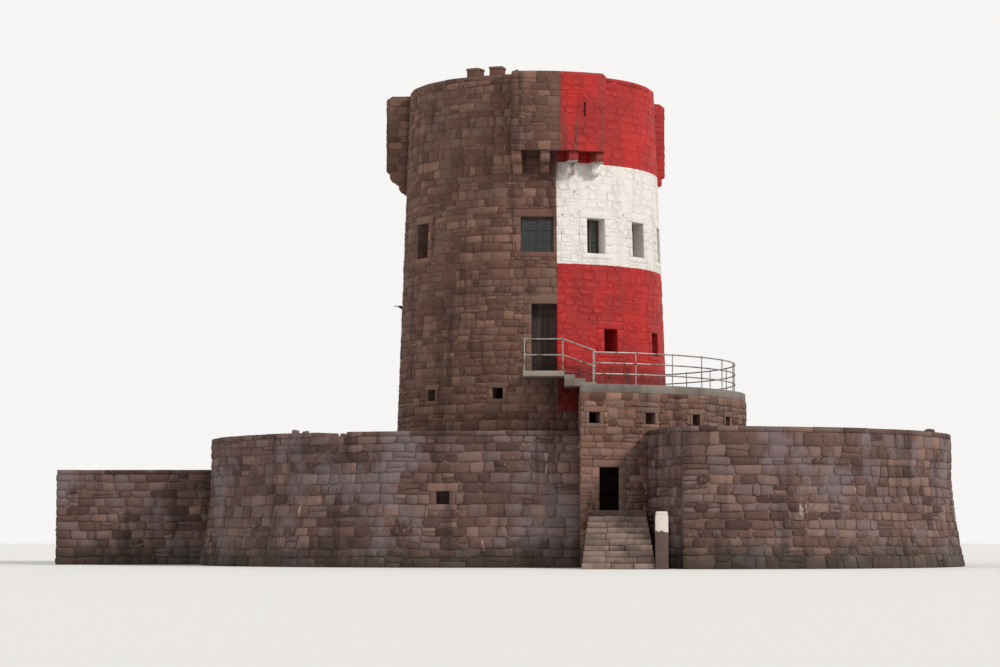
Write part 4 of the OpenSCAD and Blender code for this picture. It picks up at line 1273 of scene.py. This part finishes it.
# %% Flanges, bolts and ball fittings of the railings
RAIL_R, RAIL_H = ANNEX_R - 0.40, 1.15
rail_azs = [16.2 + 12.3 * i for i in range(13)]
tread_z = ANNEX_TOP + (DOOR_Z - ANNEX_TOP) / 4
LANDING_RAIL_Y = -6.39
landing_posts = [(x, LANDING_RAIL_Y, z) for x, z in ((-0.29, DOOR_Z), (1.09, DOOR_Z), (2.23, tread_z))]
post_feet = [turned_to(az, RAIL_R, ANNEX_TOP) for az in rail_azs]
post_feet += [Matrix.Translation(post) for post in landing_posts]
flange = [(0, 0), (0.07, 0), (0.07, 0.010), (0.032, 0.015), (0.029, 0.045), (0, 0.045)]
foot_bolt = [(0, 0), (0.010, 0), (0.010, 0.010), (0.005, 0.014), (0, 0.014)]
ball = [(0, -0.040), (0.024, -0.033), (0.038, -0.014), (0.038, 0.014), (0.024, 0.033), (0, 0.040)]
bolt_turns = [Matrix.Rotation(math.radians(45 + 90 * k), 4, "Z") for k in range(4)]
bolt_ring = [turn @ Matrix.Translation((0.051, 0, 0.010)) for turn in bolt_turns]
placed("rail_fittings", [
    (spun(flange), post_feet),
    (spun(foot_bolt, 6), [foot @ turn for foot in post_feet for turn in bolt_ring]),
    (spun(ball, 12),
     [turned_to(az, RAIL_R, ANNEX_TOP + RAIL_H * k / 3) for az in rail_azs for k in (1, 2, 3)]),
], galvanised)


# %% Flags on the gun decks and the roof
CLEAR = 0.05


def on_gun_deck(x, y):
    """Whether a place is on one of the gun decks, clear of the tower, the annex and the gateway."""
    from_tower = math.hypot(x, y)
    at_annex = x > ANNEX_X - CLEAR and from_tower < ANNEX_R + CLEAR
    if at_annex or from_tower < shaft_r(DECK_Z) + CLEAR:
        return False
    limit = BATTERY_INNER_R - CLEAR
    in_left = math.hypot(x - LEFT_X, y - LEFT_Y) < limit or (LEFT_X < x and LEFT_Y - limit < y < LEFT_Y)
    in_right = math.hypot(x - RIGHT_X, y - RIGHT_Y) < limit
    inside_return = y > RIGHT_Y or beyond_return(x, y) > RETURN_T + CLEAR
    return (in_left and (x < ANNEX_X - CLEAR or y > 0)) or (in_right and inside_return)


def on_level(z):
    return lambda x, y, out: Vector((x, y, z + out))


flag_style = dict(length=0.95, split=0.12, joint=0.02, body=0.06, edge=0.012, swell=0.002, lift=0.008,
                  knock=0.05)
rubble("gun_deck_flags", LEFT_X - BATTERY_INNER_R, RIGHT_X + BATTERY_INNER_R, RIGHT_Y - BATTERY_INNER_R,
       LEFT_Y + BATTERY_INNER_R, on_level(DECK_Z), flag_stone, course=0.65, within=on_gun_deck,
       **flag_style)
rubble("roof_flags", -INNER_R, INNER_R, -INNER_R, INNER_R, on_level(ROOF_Z), flag_stone, course=0.6,
       within=lambda x, y: math.hypot(x, y) < INNER_R - 0.03, **flag_style)


# %% Loose stones on the battery's top
def rough_stone(size):
    bm = bmesh.new()
    bmesh.ops.create_cube(bm, size=size)
    bmesh.ops.scale(bm, verts=bm.verts[:], vec=(1.7, 1.2, 0.8))
    for v in bm.verts:
        v.co += Vector([rng.uniform(-0.14, 0.14) * size for _ in range(3)])
    bmesh.ops.translate(bm, verts=bm.verts[:], vec=(0, 0, 0.36 * size))
    soften(bm, bm.edges[:], 0.2 * size)
    return bm


def on_lobe_top(az, centre, inwards, sink=0.0):
    spot = ring(math.radians(az), LOBE_R - inwards, LOBE_TOP - sink, centre)
    return Matrix.Translation(spot) @ Matrix.Rotation(rng.uniform(0, TURN), 4, "Z")


left_centre, right_centre = (LEFT_X, LEFT_Y), (RIGHT_X, RIGHT_Y)
placed("loose_stones", [
    (rough_stone(0.20), [on_lobe_top(-39.2, left_centre, 0.35), on_lobe_top(66, right_centre, 0.4)]),
    (rough_stone(0.15), [on_lobe_top(-37.6, left_centre, 0.6), on_lobe_top(84, right_centre, 0.4),
                         on_lobe_top(-26.5, left_centre, 0.5, GAP_H)]),
    (rough_stone(0.12), [on_lobe_top(-29.8, left_centre, 0.3, GAP_H), on_lobe_top(86.5, right_centre, 0.7)]),
], battery_stone)

# %% [markdown]
# ## Finishes on the plain solids
# Behind the stones the plain walls stay and show as mortar. Other solids keep their shape and only
# take a finish. The order of the words matters: the first word that fits a name decides.

# %% Give every solid its finish
FINISHES = [("machicolation", tower_mortar), ("shaft", tower_mortar), ("parapet", tower_mortar),
            ("tower_footing", battery_mortar), ("annex_roof", roof_concrete), ("annex_railing", galvanised),
            ("landing_railing", galvanised), ("annex_floor", step_stone), ("annex", annex_mortar),
            ("battery_fill", deck_stone), ("battery", battery_mortar), ("gateway_return", battery_mortar),
            ("approach", battery_mortar), ("roof_deck", roof_concrete), ("first_floor", floor_boards),
            ("second_floor", floor_boards), ("entrance_landing", concrete), ("landing_steps", concrete),
            ("window_frames", frame_timber), ("window_glass", glass), ("entrance_door", door_timber),
            ("chimney_stacks", tower_mortar), ("roof_vent", dark_iron), ("gateway_steps", battery_mortar),
            ("gate_post", gate_post_stone), ("wall_bracket", dark_iron), ("corbels", tower_mortar)]


def finish_for(name):
    return next(material for word, material in FINISHES if name.startswith(word))


for name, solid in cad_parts.items():
    solid.data.materials.clear()
    solid.data.materials.append(finish_for(name))
print("finished", len(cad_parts), "solids")
